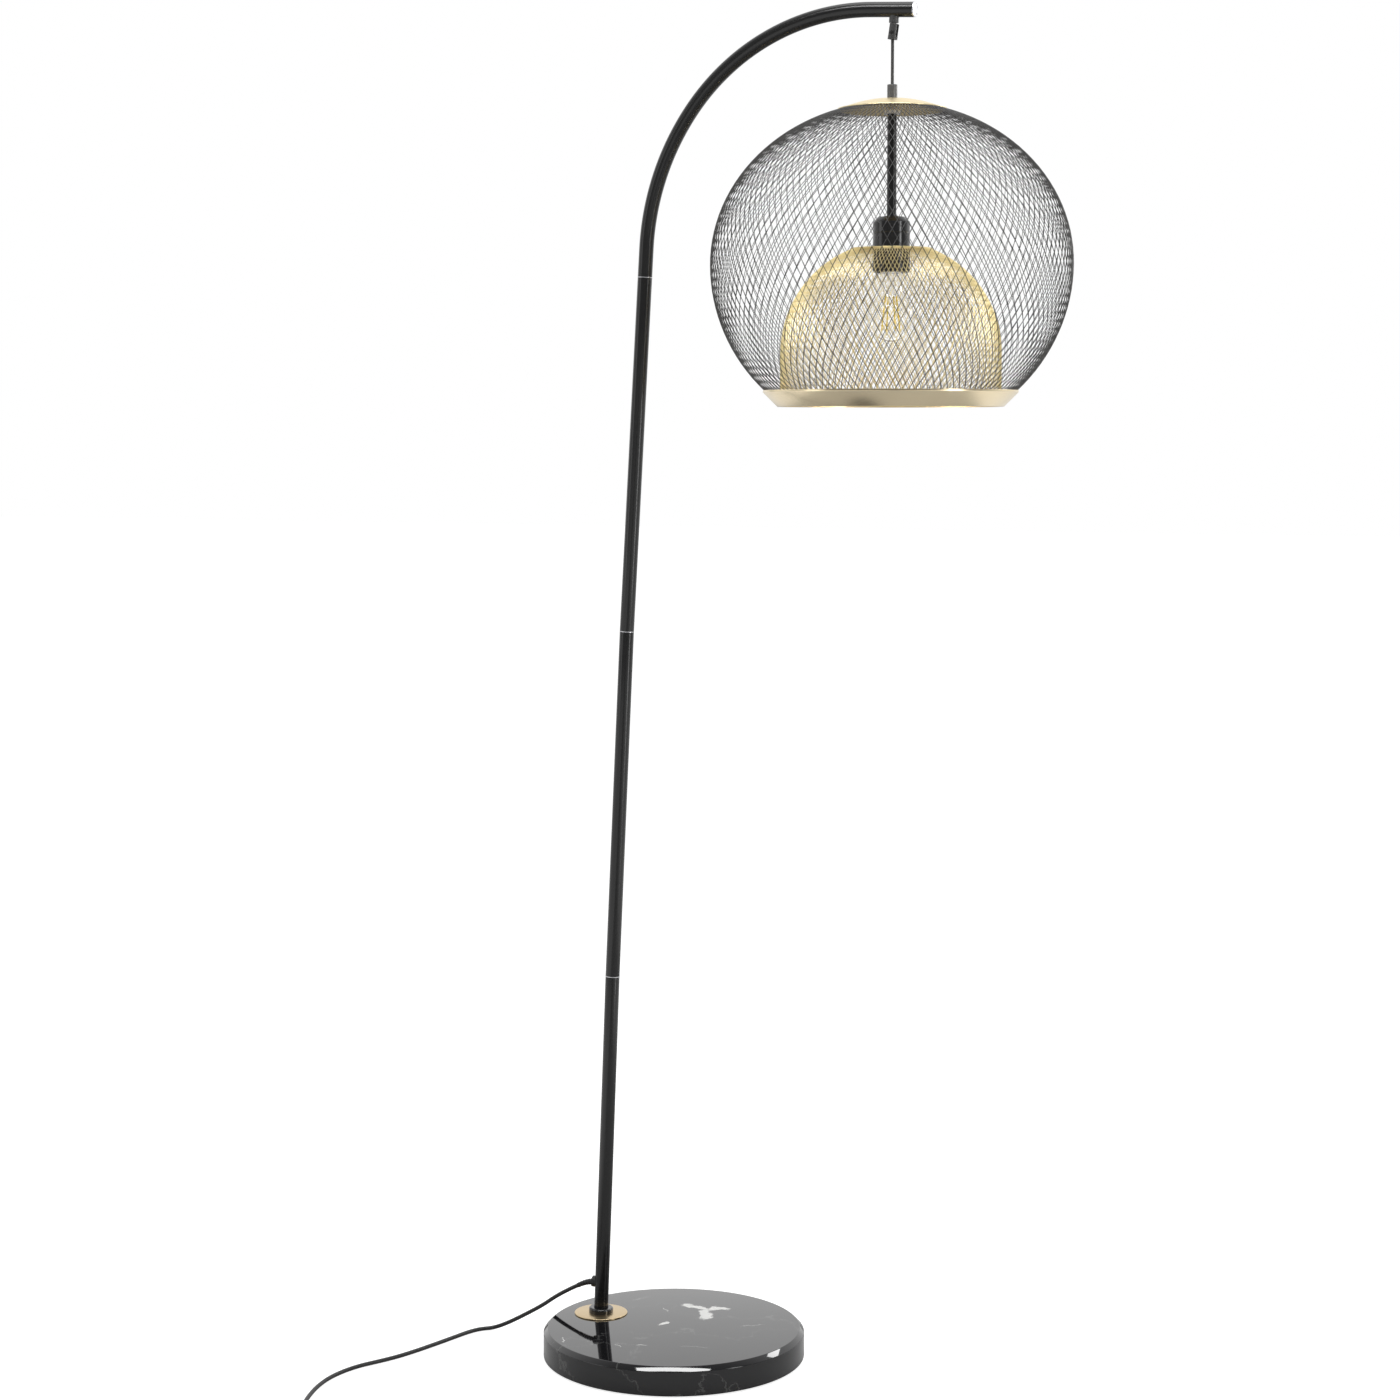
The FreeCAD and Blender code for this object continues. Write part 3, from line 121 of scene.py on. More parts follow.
class Graph:
    """The node tree of one material or of the world."""

    def __init__(self, owner: bpy.types.Material | bpy.types.World) -> None:
        """Take over an owner's node tree."""
        owner.use_nodes = True
        self.tree = owner.node_tree

    @property
    def shader(self) -> bpy.types.Node:
        """The surface shader that a new material comes with."""
        return self.tree.nodes["Principled BSDF"]

    def feed(self, socket: bpy.types.NodeSocket, value: Feed) -> None:
        """Link a socket to a value or a node's output, or set it to a number, vector or colour."""
        if isinstance(value, Value):
            value = value.socket
        if isinstance(value, bpy.types.NodeSocket):
            self.tree.links.new(value, socket)
        else:
            socket.default_value = value

    def surface(self, name: str, value: Feed) -> None:
        """Feed an input of the surface shader."""
        self.feed(self.shader.inputs[name], value)

    def node(self, kind: str, settings: dict | None = None, feeds: dict | None = None) -> bpy.types.Node:
        """Add a node.

        Args:
            kind: the node's type.
            settings: its own options, set before its sockets.
            feeds: socket names or numbers with what goes into them.

        Returns:
            The new node.
        """
        item = self.tree.nodes.new(kind)
        for key, value in (settings or {}).items():
            setattr(item, key, value)
        for key, value in (feeds or {}).items():
            self.feed(item.inputs[key], value)
        return item

    def math(self, operation: str, *values: Value | float) -> Value:
        """Add a Math node over values."""
        item = self.node("ShaderNodeMath", {"operation": operation}, dict(enumerate(values)))
        return Value(self, item.outputs[0])

    def step(self, value: Value, low: float, high: float) -> Value:
        """A smooth step from 0 at low to 1 at high; the other way round where high is less."""
        feeds = {"Value": value, "From Min": low, "From Max": high, "To Min": 0.0, "To Max": 1.0}
        item = self.node("ShaderNodeMapRange", {"interpolation_type": "SMOOTHSTEP", "clamp": True}, feeds)
        return Value(self, item.outputs["Result"])

    def place(self) -> bpy.types.NodeSocket:
        """The surface's place in the lamp's frame, in metres."""
        return self.node("ShaderNodeTexCoord").outputs["Object"]

    def noise(self, vector: Feed, scale: float, detail: float = 2.0) -> bpy.types.Node:
        """Add a noise texture over a vector."""
        return self.node("ShaderNodeTexNoise", None, {"Vector": vector, "Scale": scale, "Detail": detail})

    def grain(self, vector: Feed, scale: float, detail: float = 2.0) -> Value:
        """A noise texture's strength as a value from 0 to 1."""
        return Value(self, self.noise(vector, scale, detail).outputs["Fac"])

    def vector(self, operation: str, *values: Feed) -> bpy.types.NodeSocket:
        """The vector that a Vector Math node gives."""
        feeds = dict(enumerate(values))
        return self.node("ShaderNodeVectorMath", {"operation": operation}, feeds).outputs[0]

    def measure(self, operation: str, *values: Feed) -> Value:
        """The number that a Vector Math node gives, such as a length."""
        return Value(self, self.vector(operation, *values).node.outputs["Value"])

    def mix(self, factor: Feed, low: Feed, high: Feed) -> bpy.types.NodeSocket:
        """Mix two colours."""
        low, high = ((*colour, 1.0) if isinstance(colour, tuple) else colour for colour in (low, high))
        return self.node("ShaderNodeMix", {"data_type": "RGBA"}, {0: factor, 6: low, 7: high}).outputs[2]

    def bump(self, height: Value, depth: float, strength: float = 1.0) -> None:
        """Bump the surface by a pattern from 0 to 1 that is so many metres deep."""
        feeds = {"Height": height, "Distance": depth, "Strength": strength}
        self.surface("Normal", self.node("ShaderNodeBump", None, feeds).outputs["Normal"])

    def ray(self, kind: str) -> Value:
        """1 for rays of a kind, else 0."""
        return Value(self, self.node("ShaderNodeLightPath").outputs[f"Is {kind} Ray"])

    def seen(self) -> Value:
        """1 where the camera looks straight or through glass, else 0."""
        return self.math("MINIMUM", self.ray("Camera") + self.ray("Transmission"), 1.0)


# ---------------------------------------------------------------- finishes
def scaled(colour: Triple, share: float) -> Triple:
    """A colour made lighter or darker."""
    return tuple(min(1.0, part * share) for part in colour)


def grey(level: float) -> Triple:
    """A colour without a hue."""
    return (level, level, level)


@dataclass(frozen=True)
class Finish:
    """A surface finish. Each kind adds its own pattern to a plain surface."""

    name: str
    slot: str
    colour: Triple
    roughness: float = 0.4
    metallic: float = 0.0
    coat: float = 0.0

    def material(self) -> bpy.types.Material:
        """The finish's material, built once."""
        found = bpy.data.materials.get(self.name)
        if found is not None:
            return found
        made = bpy.data.materials.new(self.name)
        graph = Graph(made)
        graph.surface("Base Color", (*self.colour, 1.0))
        graph.surface("Roughness", self.roughness)
        graph.surface("Metallic", self.metallic)
        graph.surface("Coat Weight", self.coat)
        graph.surface("Coat Roughness", min(self.roughness, 0.08))
        self.pattern(graph)
        return made

    def pattern(self, graph: Graph) -> None:
        """Add what changes over the surface."""

    def tint(self, graph: Graph, share: Value, depth: float) -> None:
        """Let the colour wander a little darker and lighter.

        Args:
            graph: the material's graph.
            share: where the surface is lighter, from 0 to 1.
            depth: how far the colour goes each way.
        """
        darker, lighter = scaled(self.colour, 1 - depth), scaled(self.colour, 1 + depth)
        graph.surface("Base Color", graph.mix(share, darker, lighter))

    def dress(self, piece: Piece) -> None:
        """Put the finish on a piece."""
        slots = piece.data.materials
        if not slots:
            slots.append(self.material())
        for index in range(len(slots)):
            slots[index] = self.material()


@dataclass(frozen=True)
class Clouded(Finish):
    """A surface that is a little cloudy in colour and roughness, with a fine grain."""

    cloud_scale: float = 45.0
    cloud_tint: float = 0.12
    cloud_rough: float = 0.10
    grain_scale: float = 1500.0
    grain_depth: float = 0.00001

    def pattern(self, graph: Graph) -> None:
        """Add the clouds and the grain."""
        place = graph.place()
        cloud = graph.grain(place, self.cloud_scale, 3.0)
        self.tint(graph, cloud, self.cloud_tint)
        graph.surface("Roughness", self.roughness + (cloud - 0.5) * self.cloud_rough)
        graph.bump(graph.grain(place, self.grain_scale), self.grain_depth)


@dataclass(frozen=True)
class Paint(Clouded):
    """Sprayed and baked paint."""


@dataclass(frozen=True)
class PlatedMetal(Clouded):
    """Plated or bright metal of small parts."""

    cloud_scale: float = 160.0
    cloud_tint: float = 0.10
    cloud_rough: float = 0.12
    grain_scale: float = 2600.0


@dataclass(frozen=True)
class Moulded(Clouded):
    """Moulded plastic or rubber, with the mould's texture and slight wear."""

    cloud_scale: float = 30.0
    cloud_tint: float = 0.15
    cloud_rough: float = 0.12
    grain_scale: float = 1200.0
    grain_depth: float = 0.00004


@dataclass(frozen=True)
class Mottled(Finish):
    """One pattern in colour and relief: the fibres of felt, or a glaze's soft waves."""

    scale: float = 900.0
    detail: float = 6.0
    contrast: float = 0.5
    depth: float = 0.0004
    relief: float = 1.0

    def pattern(self, graph: Graph) -> None:
        """Add the pattern."""
        spots = graph.grain(graph.place(), self.scale, self.detail)
        self.tint(graph, spots, self.contrast)
        graph.bump(spots, self.depth, self.relief)


@dataclass(frozen=True)
class SpunMetal(Finish):
    """Metal turned or spun on a lathe, with fine rings about its own axis."""

    axis: tuple[float, float] = STEM_AXIS
    ring_scale: float = 900.0
    ring_depth: float = 0.00001

    def pattern(self, graph: Graph) -> None:
        """Add rings about the axis, and faint handling marks."""
        place = graph.place()
        moved = graph.vector("SUBTRACT", place, (*self.axis, 0.0))
        radius = graph.measure("LENGTH", graph.vector("MULTIPLY", moved, (1.0, 1.0, 0.0)))
        height = Value(graph, graph.node("ShaderNodeSeparateXYZ", None, {0: place}).outputs["Z"])
        feeds = {"W": radius + height, "Scale": self.ring_scale, "Detail": 3.0}
        rings = graph.node("ShaderNodeTexNoise", {"noise_dimensions": "1D"}, feeds)
        ring = Value(graph, rings.outputs["Fac"])
        cloud = graph.grain(place, 18.0, 3.0)
        self.tint(graph, cloud, 0.06)
        graph.surface("Roughness", self.roughness * (0.85 + ring * 0.2 + cloud * 0.1))
        graph.bump(ring, self.ring_depth)


@dataclass(frozen=True)
class Vein:
    """One pale patch in the stone, seen from above: its middle, half length, half width and turn."""

    x: float
    y: float
    half_length: float
    half_width: float
    turn: float
    strength: float

    def patch(self, graph: Graph, place: Feed) -> Value:
        """How much of the patch shows at a place, with soft edges."""
        feeds = {
            "Vector": place,
            "Location": (self.x * MM, self.y * MM, 0.0),
            "Rotation": (0.0, 0.0, math.radians(self.turn)),
            "Scale": (self.half_length * MM, self.half_width * MM, 1.0),
        }
        local = graph.node("ShaderNodeMapping", {"vector_type": "TEXTURE"}, feeds).outputs[0]
        return graph.step(graph.measure("LENGTH", local), 1.15, 0.75) * self.strength


@dataclass(frozen=True)
class Marble(Finish):
    """Polished black marble with faint clouds and a few pale veins."""

    vein_colour: Triple = (0.62, 0.62, 0.60)
    vein_wander: float = 0.022
    hair_width: float = 0.006
    hair_strength: float = 0.10
    veins: tuple[Vein, ...] = ()

    def pattern(self, graph: Graph) -> None:
        """Add clouds, hair veins and the pale patches."""
        place = graph.place()
        warp = graph.noise(place, 60.0, 4.0).outputs["Color"]
        centred = graph.vector("SUBTRACT", warp, (0.5, 0.5, 0.5))
        bent = graph.vector("ADD", place, graph.vector("MULTIPLY", centred, grey(self.vein_wander)))
        ridge = graph.grain(bent, 7.0, 5.0)
        pale = graph.step(graph.math("ABSOLUTE", ridge - 0.5), self.hair_width, 0.0) * self.hair_strength
        for vein in self.veins:
            pale = graph.math("MAXIMUM", vein.patch(graph, bent), pale)
        cloud = graph.grain(place, 24.0, 6.0)
        stone = graph.mix(cloud, scaled(self.colour, 0.6), scaled(self.colour, 1.5))
        graph.surface("Base Color", graph.mix(pale, stone, self.vein_colour))
        graph.surface("Roughness", self.roughness + cloud * 0.03)


@dataclass(frozen=True)
class ClearGlass(Finish):
    """Blown clear glass, with the slight waves of its making."""

    def pattern(self, graph: Graph) -> None:
        """Make the surface clear and a little wavy."""
        graph.surface("Transmission Weight", 1.0)
        graph.surface("IOR", 1.45)
        graph.bump(graph.grain(graph.place(), 35.0), 0.0004, 0.3)


class Look(Enum):
    """The finishes of the lamp's pieces."""

    STONE = Marble(
        "black_marble", "black_stone", (0.006, 0.006, 0.007), 0.035, 0.0, 0.45,
        veins=(
            Vein(-6, 88, 22, 7, -8, 1.0), Vein(25, 93, 15, 8, 20, 1.0), Vein(20, 64, 25, 8.5, -72, 1.0),
            Vein(-17, 4, 11, 4.6, 68, 1.0), Vein(-39, 60, 12, 1.2, -46, 0.4), Vein(-10, -92, 9, 1.3, 23, 0.7),
            Vein(-34, -106, 8, 1.4, -29, 0.6), Vein(-112, -112, 12, 1.5, -62, 0.7),
            Vein(96, 40, 16, 1.2, 40, 0.3), Vein(60, -70, 20, 1.1, 12, 0.25),
            Vein(-90, 95, 18, 1.2, 60, 0.25),
        ),
    )
    FELT = Mottled("grey_felt", "felt", grey(0.30), 0.95)
    ZINC = PlatedMetal("zinc_plate", "zinc_steel", (0.62, 0.62, 0.64), 0.32, 1.0)
    SATIN_PAINT = Paint("satin_black_paint", "black_paint", grey(0.010), 0.22)
    # Black paint made lighter than the pole's: painted sheen, for the grey look of the clip and neck under
    # the lights.
    CLIP_PAINT = Paint("black_clip_paint_with_painted_sheen", "black_paint", grey(0.055), 0.30)
    GLOSS_PAINT = Paint("gloss_black_paint", "gloss_black", grey(0.008), 0.12, 0.0, 0.6)
    # Black wire made lighter than the pole's black paint: painted sheen for the strands' lit faces.
    WIRE_PAINT = Paint("black_wire_paint", "black_wire", (0.038, 0.037, 0.036), 0.40)
    CAP_BRASS = SpunMetal("satin_cap_brass", "satin_brass", (0.90, 0.76, 0.46), 0.34, 1.0)
    # Darker than the cap's brass of the same slot: painted shade for the plate under the cap; its rougher
    # satin is real.
    PLATE_BRASS = SpunMetal("dull_and_shaded_plate_brass", "satin_brass", (0.60, 0.47, 0.22), 0.40, 1.0)
    FOOT_BRASS = SpunMetal("satin_foot_brass", "satin_brass", (0.68, 0.53, 0.32), 0.30, 1.0, axis=FOOT_AXIS)
    RING_BRASS = SpunMetal(
        "polished_ring_brass", "polished_brass", (0.82, 0.70, 0.48), 0.24, 1.0, ring_depth=0.000004
    )
    GOLD = PlatedMetal("gold_mesh_plate", "gold_mesh", (0.80, 0.66, 0.33), 0.32, 0.7)
    BRIGHT = PlatedMetal("bright_turned_cap", "bright_cap", (0.60, 0.60, 0.63), 0.30, 1.0)
    FERRULE_PAINT = Paint("grey_ferrule_paint", "gloss_black", grey(0.13), 0.34, 0.4)
    BLACK_SCREW = PlatedMetal("black_oxide_screw", "zinc_steel", grey(0.05), 0.30, 0.5)
    SHEATH = Moulded(
        "black_cable_sheath", "cable_black", grey(0.020), 0.42, grain_scale=500.0, grain_depth=0.00002
    )
    HANG_SHEATH = Moulded(
        "grey_hanging_sheath", "cable_black", grey(0.050), 0.42, grain_scale=500.0, grain_depth=0.00002
    )
    GLOSS_PLASTIC = Moulded("black_gloss_plastic", "black_plastic", grey(0.015), 0.20)
    PLASTIC = Moulded("black_matte_plastic", "matte_black_plastic", grey(0.018), 0.45)
    HOLDER_BLACK = Moulded("black_holder_shell", "matte_black_plastic", (0.010, 0.010, 0.011), 0.16, 0.0, 0.5)
    PORCELAIN = Mottled(
        "white_porcelain", "porcelain", (0.86, 0.85, 0.81), 0.12, 0.0, 0.5,
        scale=90.0, detail=3.0, contrast=0.04, depth=0.0001, relief=0.4,
    )
    BULB_METAL = PlatedMetal("drawn_bulb_shell", "bulb_shell", (0.76, 0.74, 0.70), 0.28, 1.0)
    GLASS = ClearGlass("clear_bulb_glass", "clear_glass", grey(1.0), 0.0)
    FILAMENT = Moulded(
        "yellow_filament_coat", "filament", (0.90, 0.62, 0.02), 0.5, grain_scale=900.0, grain_depth=0.0001
    )
    PIN_BRASS = PlatedMetal("bright_pin_brass", "pin_brass", (0.82, 0.66, 0.34), 0.22, 1.0)

    def dress(self, *nodes: str) -> None:
        """Put the finish on solids that are shown as they are."""
        for node in nodes:
            self.value.dress(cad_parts[node])


# ---------------------------------------------------------------- modelling by hand
def add(operator: Callable[..., set], name: str, **settings: float | tuple | str) -> Piece:
    """Add a primitive, alone in the selection.

    Args:
        operator: the operator that adds it.
        name: the piece's name.
        **settings: the operator's own settings.

    Returns:
        The new piece.
    """
    bpy.ops.object.select_all(action="DESELECT")
    operator(**settings)
    piece = bpy.context.view_layer.objects.active
    piece.name = name
    piece.data.name = name
    return piece


def linked(name: str, data: bpy.types.ID) -> Piece:
    """A new object with its data, in the scene."""
    piece = bpy.data.objects.new(name, data)
    bpy.context.scene.collection.objects.link(piece)
    return piece


def pick(piece: Piece) -> None:
    """Make a piece active and alone in the selection."""
    bpy.ops.object.select_all(action="DESELECT")
    piece.select_set(True)
    bpy.context.view_layer.objects.active = piece


@contextmanager
def editing(piece: Piece, start: str = "DESELECT") -> Iterator[None]:
    """Edit mode on a piece, by its vertices, with all or nothing selected at the start."""
    pick(piece)
    bpy.ops.object.mode_set(mode="EDIT")
    bpy.ops.mesh.select_mode(type="VERT")
    bpy.ops.mesh.select_all(action=start)
    yield
    bpy.ops.object.mode_set(mode="OBJECT")


def select_where(piece: Piece, kind: str, test: Callable[[Vector, Vector], bool]) -> None:
    """Select the faces or edges that pass a test, in edit mode.

    Args:
        piece: the piece that is being edited.
        kind: FACE or EDGE.
        test: told a face's middle and normal, or an edge's two ends, in metres.
    """
    mesh = bmesh.from_edit_mesh(piece.data)
    bpy.ops.mesh.select_mode(type=kind)
    if kind == "FACE":
        for face in mesh.faces:
            face.select_set(test(face.calc_center_median(), face.normal))
    else:
        for edge in mesh.edges:
            edge.select_set(test(edge.verts[0].co, edge.verts[1].co))
    bmesh.update_edit_mesh(piece.data)


def modify(piece: Piece, kind: str, **settings: float | str | bool | Piece) -> None:
    """Add a modifier and apply it.

    Args:
        piece: the piece that it works on.
        kind: the modifier's type.
        **settings: the modifier's own settings.
    """
    pick(piece)
    bpy.ops.object.modifier_add(type=kind)
    modifier = piece.modifiers[-1]
    for key, value in settings.items():
        setattr(modifier, key, value)
    bpy.ops.object.modifier_apply(modifier=modifier.name)


def ease(piece: Piece, width: float, segments: int, angle: float) -> None:
    """Bevel the edges that are sharper than an angle in degrees."""
    limit = math.radians(angle)
    modify(piece, "BEVEL", width=width * MM, segments=segments, limit_method="ANGLE", angle_limit=limit)


def drill(piece: Piece, radius: float, depth: float, place: Vector, sides: int) -> None:
    """Cut an upright round hole into a piece, with its middle at a place in metres."""
    cylinder = bpy.ops.mesh.primitive_cylinder_add
    cutter = add(cylinder, "cutter", vertices=sides, radius=radius * MM, depth=depth * MM, location=place)
    modify(piece, "BOOLEAN", operation="DIFFERENCE", object=cutter, solver="EXACT")
    remove(cutter)


def smooth(piece: Piece, angle: float = 32.0) -> None:
    """Shade a piece smooth up to an angle, in degrees."""
    pick(piece)
    bpy.ops.object.shade_smooth_by_angle(angle=math.radians(angle))


def settle(piece: Piece, place: Vector, lean: float = 0.0, turn: float = 0.0) -> None:
    """Put a piece in its place and keep the place in its mesh.

    Args:
        piece: a piece modelled about the origin.
        place: where its origin goes, in metres.
        lean: degrees from upright towards +X.
        turn: radians about the upright axis.
    """
    pick(piece)
    piece.location = place
    piece.rotation_euler = (0.0, math.radians(lean), turn)
    bpy.ops.object.transform_apply(location=True, rotation=True, scale=True)


def remove(piece: Piece) -> None:
    """Take a helper object out of the scene."""
    pick(piece)
    bpy.ops.object.delete()


def finish_piece(piece: Piece, body: str, look: Look, *nodes: str) -> Piece:
    """Dress a piece, let it ride on its body and stand for its solids.

    Args:
        piece: the finished piece.
        body: the body that it moves with.
        look: its finish.
        *nodes: the solids that it replaces.

    Returns:
        The same piece.
    """
    look.value.dress(piece)
    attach(piece, body)
    if nodes:
        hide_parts(*nodes)
    LOG.info("%s rides on %s, replaces %s", piece.name, body, ", ".join(nodes) or "nothing")
    return piece


def arc(middle: tuple[float, float], radius: float, start: float, end: float, steps: int = 5) -> Outline:
    """Points of an arc in the outline's plane.

    Args:
        middle: its centre, as distance from the axis and height.
        radius: its radius.
        start: the angle it starts at, in degrees from outwards, positive upwards.
        end: the angle it ends at.
        steps: how many stretches it has.

    Returns:
        The points, both ends included.
    """
    angles = [math.radians(start + (end - start) * step / steps) for step in range(steps + 1)]
    return [(middle[0] + radius * math.cos(angle), middle[1] + radius * math.sin(angle)) for angle in angles]


def weld() -> None:
    """Merge the doubled points of the mesh in edit mode, and turn its normals outwards."""
    bpy.ops.mesh.select_all(action="SELECT")
    bpy.ops.mesh.remove_doubles(threshold=1e-6)
    bpy.ops.mesh.normals_make_consistent(inside=False)


def turned(name: str, outline: Outline, steps: int = 96, angle: float = 32.0) -> Piece:
    """Turn an outline about the Z axis, as on a lathe.

    Args:
        name: the piece's name.
        outline: points as distance from the axis and height, in millimetres. It runs from axis to axis,
            or else it is closed back to its first point.
        steps: how many stretches go round.
        angle: the sharpest edge that is shaded smooth, in degrees.

    Returns:
        The turned piece, about the origin.
    """
    if outline[0][0] > 0:
        outline = [*outline, outline[0]]
    places = [Vector((radius, 0.0, height)) * MM for radius, height in outline]
    piece = add(bpy.ops.mesh.primitive_plane_add, name, size=MM)
    with editing(piece, "SELECT"):
        bpy.ops.mesh.merge(type="CENTER")
        bpy.ops.transform.translate(value=places[0])
        for here, there in zip(places, places[1:]):
            bpy.ops.mesh.extrude_vertices_move(TRANSFORM_OT_translate={"value": there - here})
        bpy.ops.mesh.select_all(action="SELECT")
        bpy.ops.mesh.spin(steps=steps, angle=math.tau, center=(0.0, 0.0, 0.0), axis=(0.0, 0.0, 1.0))
        weld()
    smooth(piece, angle)
    return piece


def smoothed_copy(node: str, name: str, angle: float = 32.0) -> Piece:
    """A merged and smooth-shaded copy of a solid whose shape is already right."""
    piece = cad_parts[node].copy()
    piece.data = piece.data.copy()
    for key in list(piece.keys()):
        del piece[key]
    piece.parent = None
    piece.name = name
    piece.data.name = name
    bpy.context.scene.collection.objects.link(piece)
    with editing(piece, "SELECT"):
        bpy.ops.mesh.remove_doubles(threshold=1e-5)
    if "custom_normal" in piece.data.attributes:
        bpy.ops.mesh.customdata_custom_splitnormals_clear()
    smooth(piece, angle)
    return piece


def rod(
    name: str, kind: str, points: Sequence[Sequence[float]], depth: float, roundness: int,
    radii: Sequence[float] = (),
) -> Piece:
    """A round rod along points.

    Args:
        name: the piece's name.
        kind: POLY for straight stretches, NURBS for a smooth curve that starts and ends on its points.
        points: its points, in metres.
        depth: its radius, in metres.
        roundness: how finely its section is divided.
        radii: how many times as thick it is at each point, where it isn't even.

    Returns:
        The rod, still a curve.
    """
    curve = bpy.data.curves.new(name, "CURVE")
    curve.dimensions = "3D"
    curve.resolution_u = 8
    curve.bevel_depth = depth
    curve.bevel_resolution = roundness
    curve.use_fill_caps = True
    spline = curve.splines.new(kind)
    spline.points.add(len(points) - 1)
    for point, place in zip(spline.points, points):
        point.co = (*place, 1.0)
    for point, radius in zip(spline.points, radii):
        point.radius = radius
    if kind == "NURBS":
        spline.order_u = 3
        spline.use_endpoint_u = True
    return linked(name, curve)


def as_mesh(piece: Piece) -> Piece:
    """Turn a curve into a mesh."""
    pick(piece)
    bpy.ops.object.convert(target="MESH")
    return bpy.context.view_layer.objects.active


def heading(angle: float) -> Vector:
    """The direction that leans by an angle, in degrees, from upright towards +X."""
    return Vector((math.sin(math.radians(angle)), 0.0, math.cos(math.radians(angle))))


@dataclass
class Group:
    """Pieces of the lamp that ride on one body."""

    body: str = "stand"

    def turn(
        self, name: str, node: str, look: Look, outline: Outline, steps: int = 96, angle: float = 32.0,
        place: Vector | None = None, lean: float = 0.0,
    ) -> Piece:
        """Turn a piece on the lathe, settle it and finish it.

        Args:
            name: the piece's name.
            node: the solid that it replaces.
            look: its finish.
            outline: its outline, as turned takes it.
            steps: how many stretches go round.
            angle: the sharpest edge that is shaded smooth, in degrees.
            place: where its origin goes, or else the shade's axis at the foot of the solid.
            lean: degrees from upright towards +X.

        Returns:
            The finished piece.
        """
        piece = turned(name, outline, steps, angle)
        settle(piece, on_stem(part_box(node)[0].z) if place is None else place, lean)
        return finish_piece(piece, self.body, look, node)

    def keep(self, node: str, name: str, look: Look, angle: float = 32.0) -> Piece:
        """Finish a smoothed copy of a solid."""
        return finish_piece(smoothed_copy(node, name, angle), self.body, look, node)


# ---------------------------------------------------------------- base and pole
@dataclass
class StoneBase(Group):
    """The round stone, its felt, and what fastens the pole to it."""

    radius: float = 175.0
    bevel: float = 6.0
    arris: float = 1.4
    recess_radius: float = 24.0
    recess_depth: float = 14.0
    collar_radius: float = 16.5
    collar_bore: float = 9.6
    collar_height: float = 7.0
    flange_bore: float = 5.1
    lean: float = 2.3

    def build(self) -> None:
        """Build the stone, the brass disc and the collar, and dress the fastenings."""
        self.slab()
        self.flange()
        self.collar()
        Look.FELT.dress("base_pad")
        Look.ZINC.dress("foot_stud", "foot_washer", "foot_nut", "foot_plug")

    def slab(self) -> None:
        """The polished stone, bevelled above, with the recess for the nut below."""
        low, high = (corner.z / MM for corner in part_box("base_slab"))
        edge, radius = self.arris, self.radius
        slope = radius - self.bevel
        soft = edge * math.tan(math.radians(22.5))
        outline = [(0.0, low)]
        outline += arc((radius - edge, low + edge), edge, -90, 0)
        outline += arc((radius - edge, high - self.bevel - soft), edge, 0, 45)
        outline += arc((slope - soft, high - edge), edge, 45, 90)
        outline += [(0.0, high)]
        slab = turned("stone_slab", outline, 192, 20.0)
        place = Vector((*middle_of("foot_nut").xy, low * MM))
        drill(slab, self.recess_radius, 2 * self.recess_depth, place, 96)
        smooth(slab, 20.0)
        finish_piece(slab, self.body, Look.STONE, "base_slab")

    def flange(self) -> None:
        """The thin brass disc under the pole, with a rounded rim."""
        radius, thick, bore = radius_of("foot_flange"), rise_of("foot_flange"), self.flange_bore
        rim = thick / 2
        outline = [(bore, 0.0), *arc((radius - rim, rim), rim, -90, 90, 8), (bore, thick)]
        place = Vector((*FOOT_AXIS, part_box("foot_flange")[0].z))
        self.turn("brass_foot_disc", "foot_flange", Look.FOOT_BRASS, outline, place=place)

    def collar(self) -> None:
        """The black collar round the pole's foot, with a rolled upper edge."""
        radius, height, bore = self.collar_radius, self.collar_height, self.collar_bore
        sink, outer_roll, inner_roll = 0.5, 2.2, 1.0
        outline = [(bore, -sink), (radius, -sink)]
        outline += arc((radius - outer_roll, height - outer_roll), outer_roll, 0, 90, 8)
        outline += arc((bore + inner_roll, height - inner_roll), inner_roll, 90, 180, 4)
        place = Vector((*FOOT_AXIS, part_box("foot_flange")[1].z))
        self.turn("foot_collar", "pole_collar", Look.GLOSS_PAINT, outline, place=place, lean=self.lean)


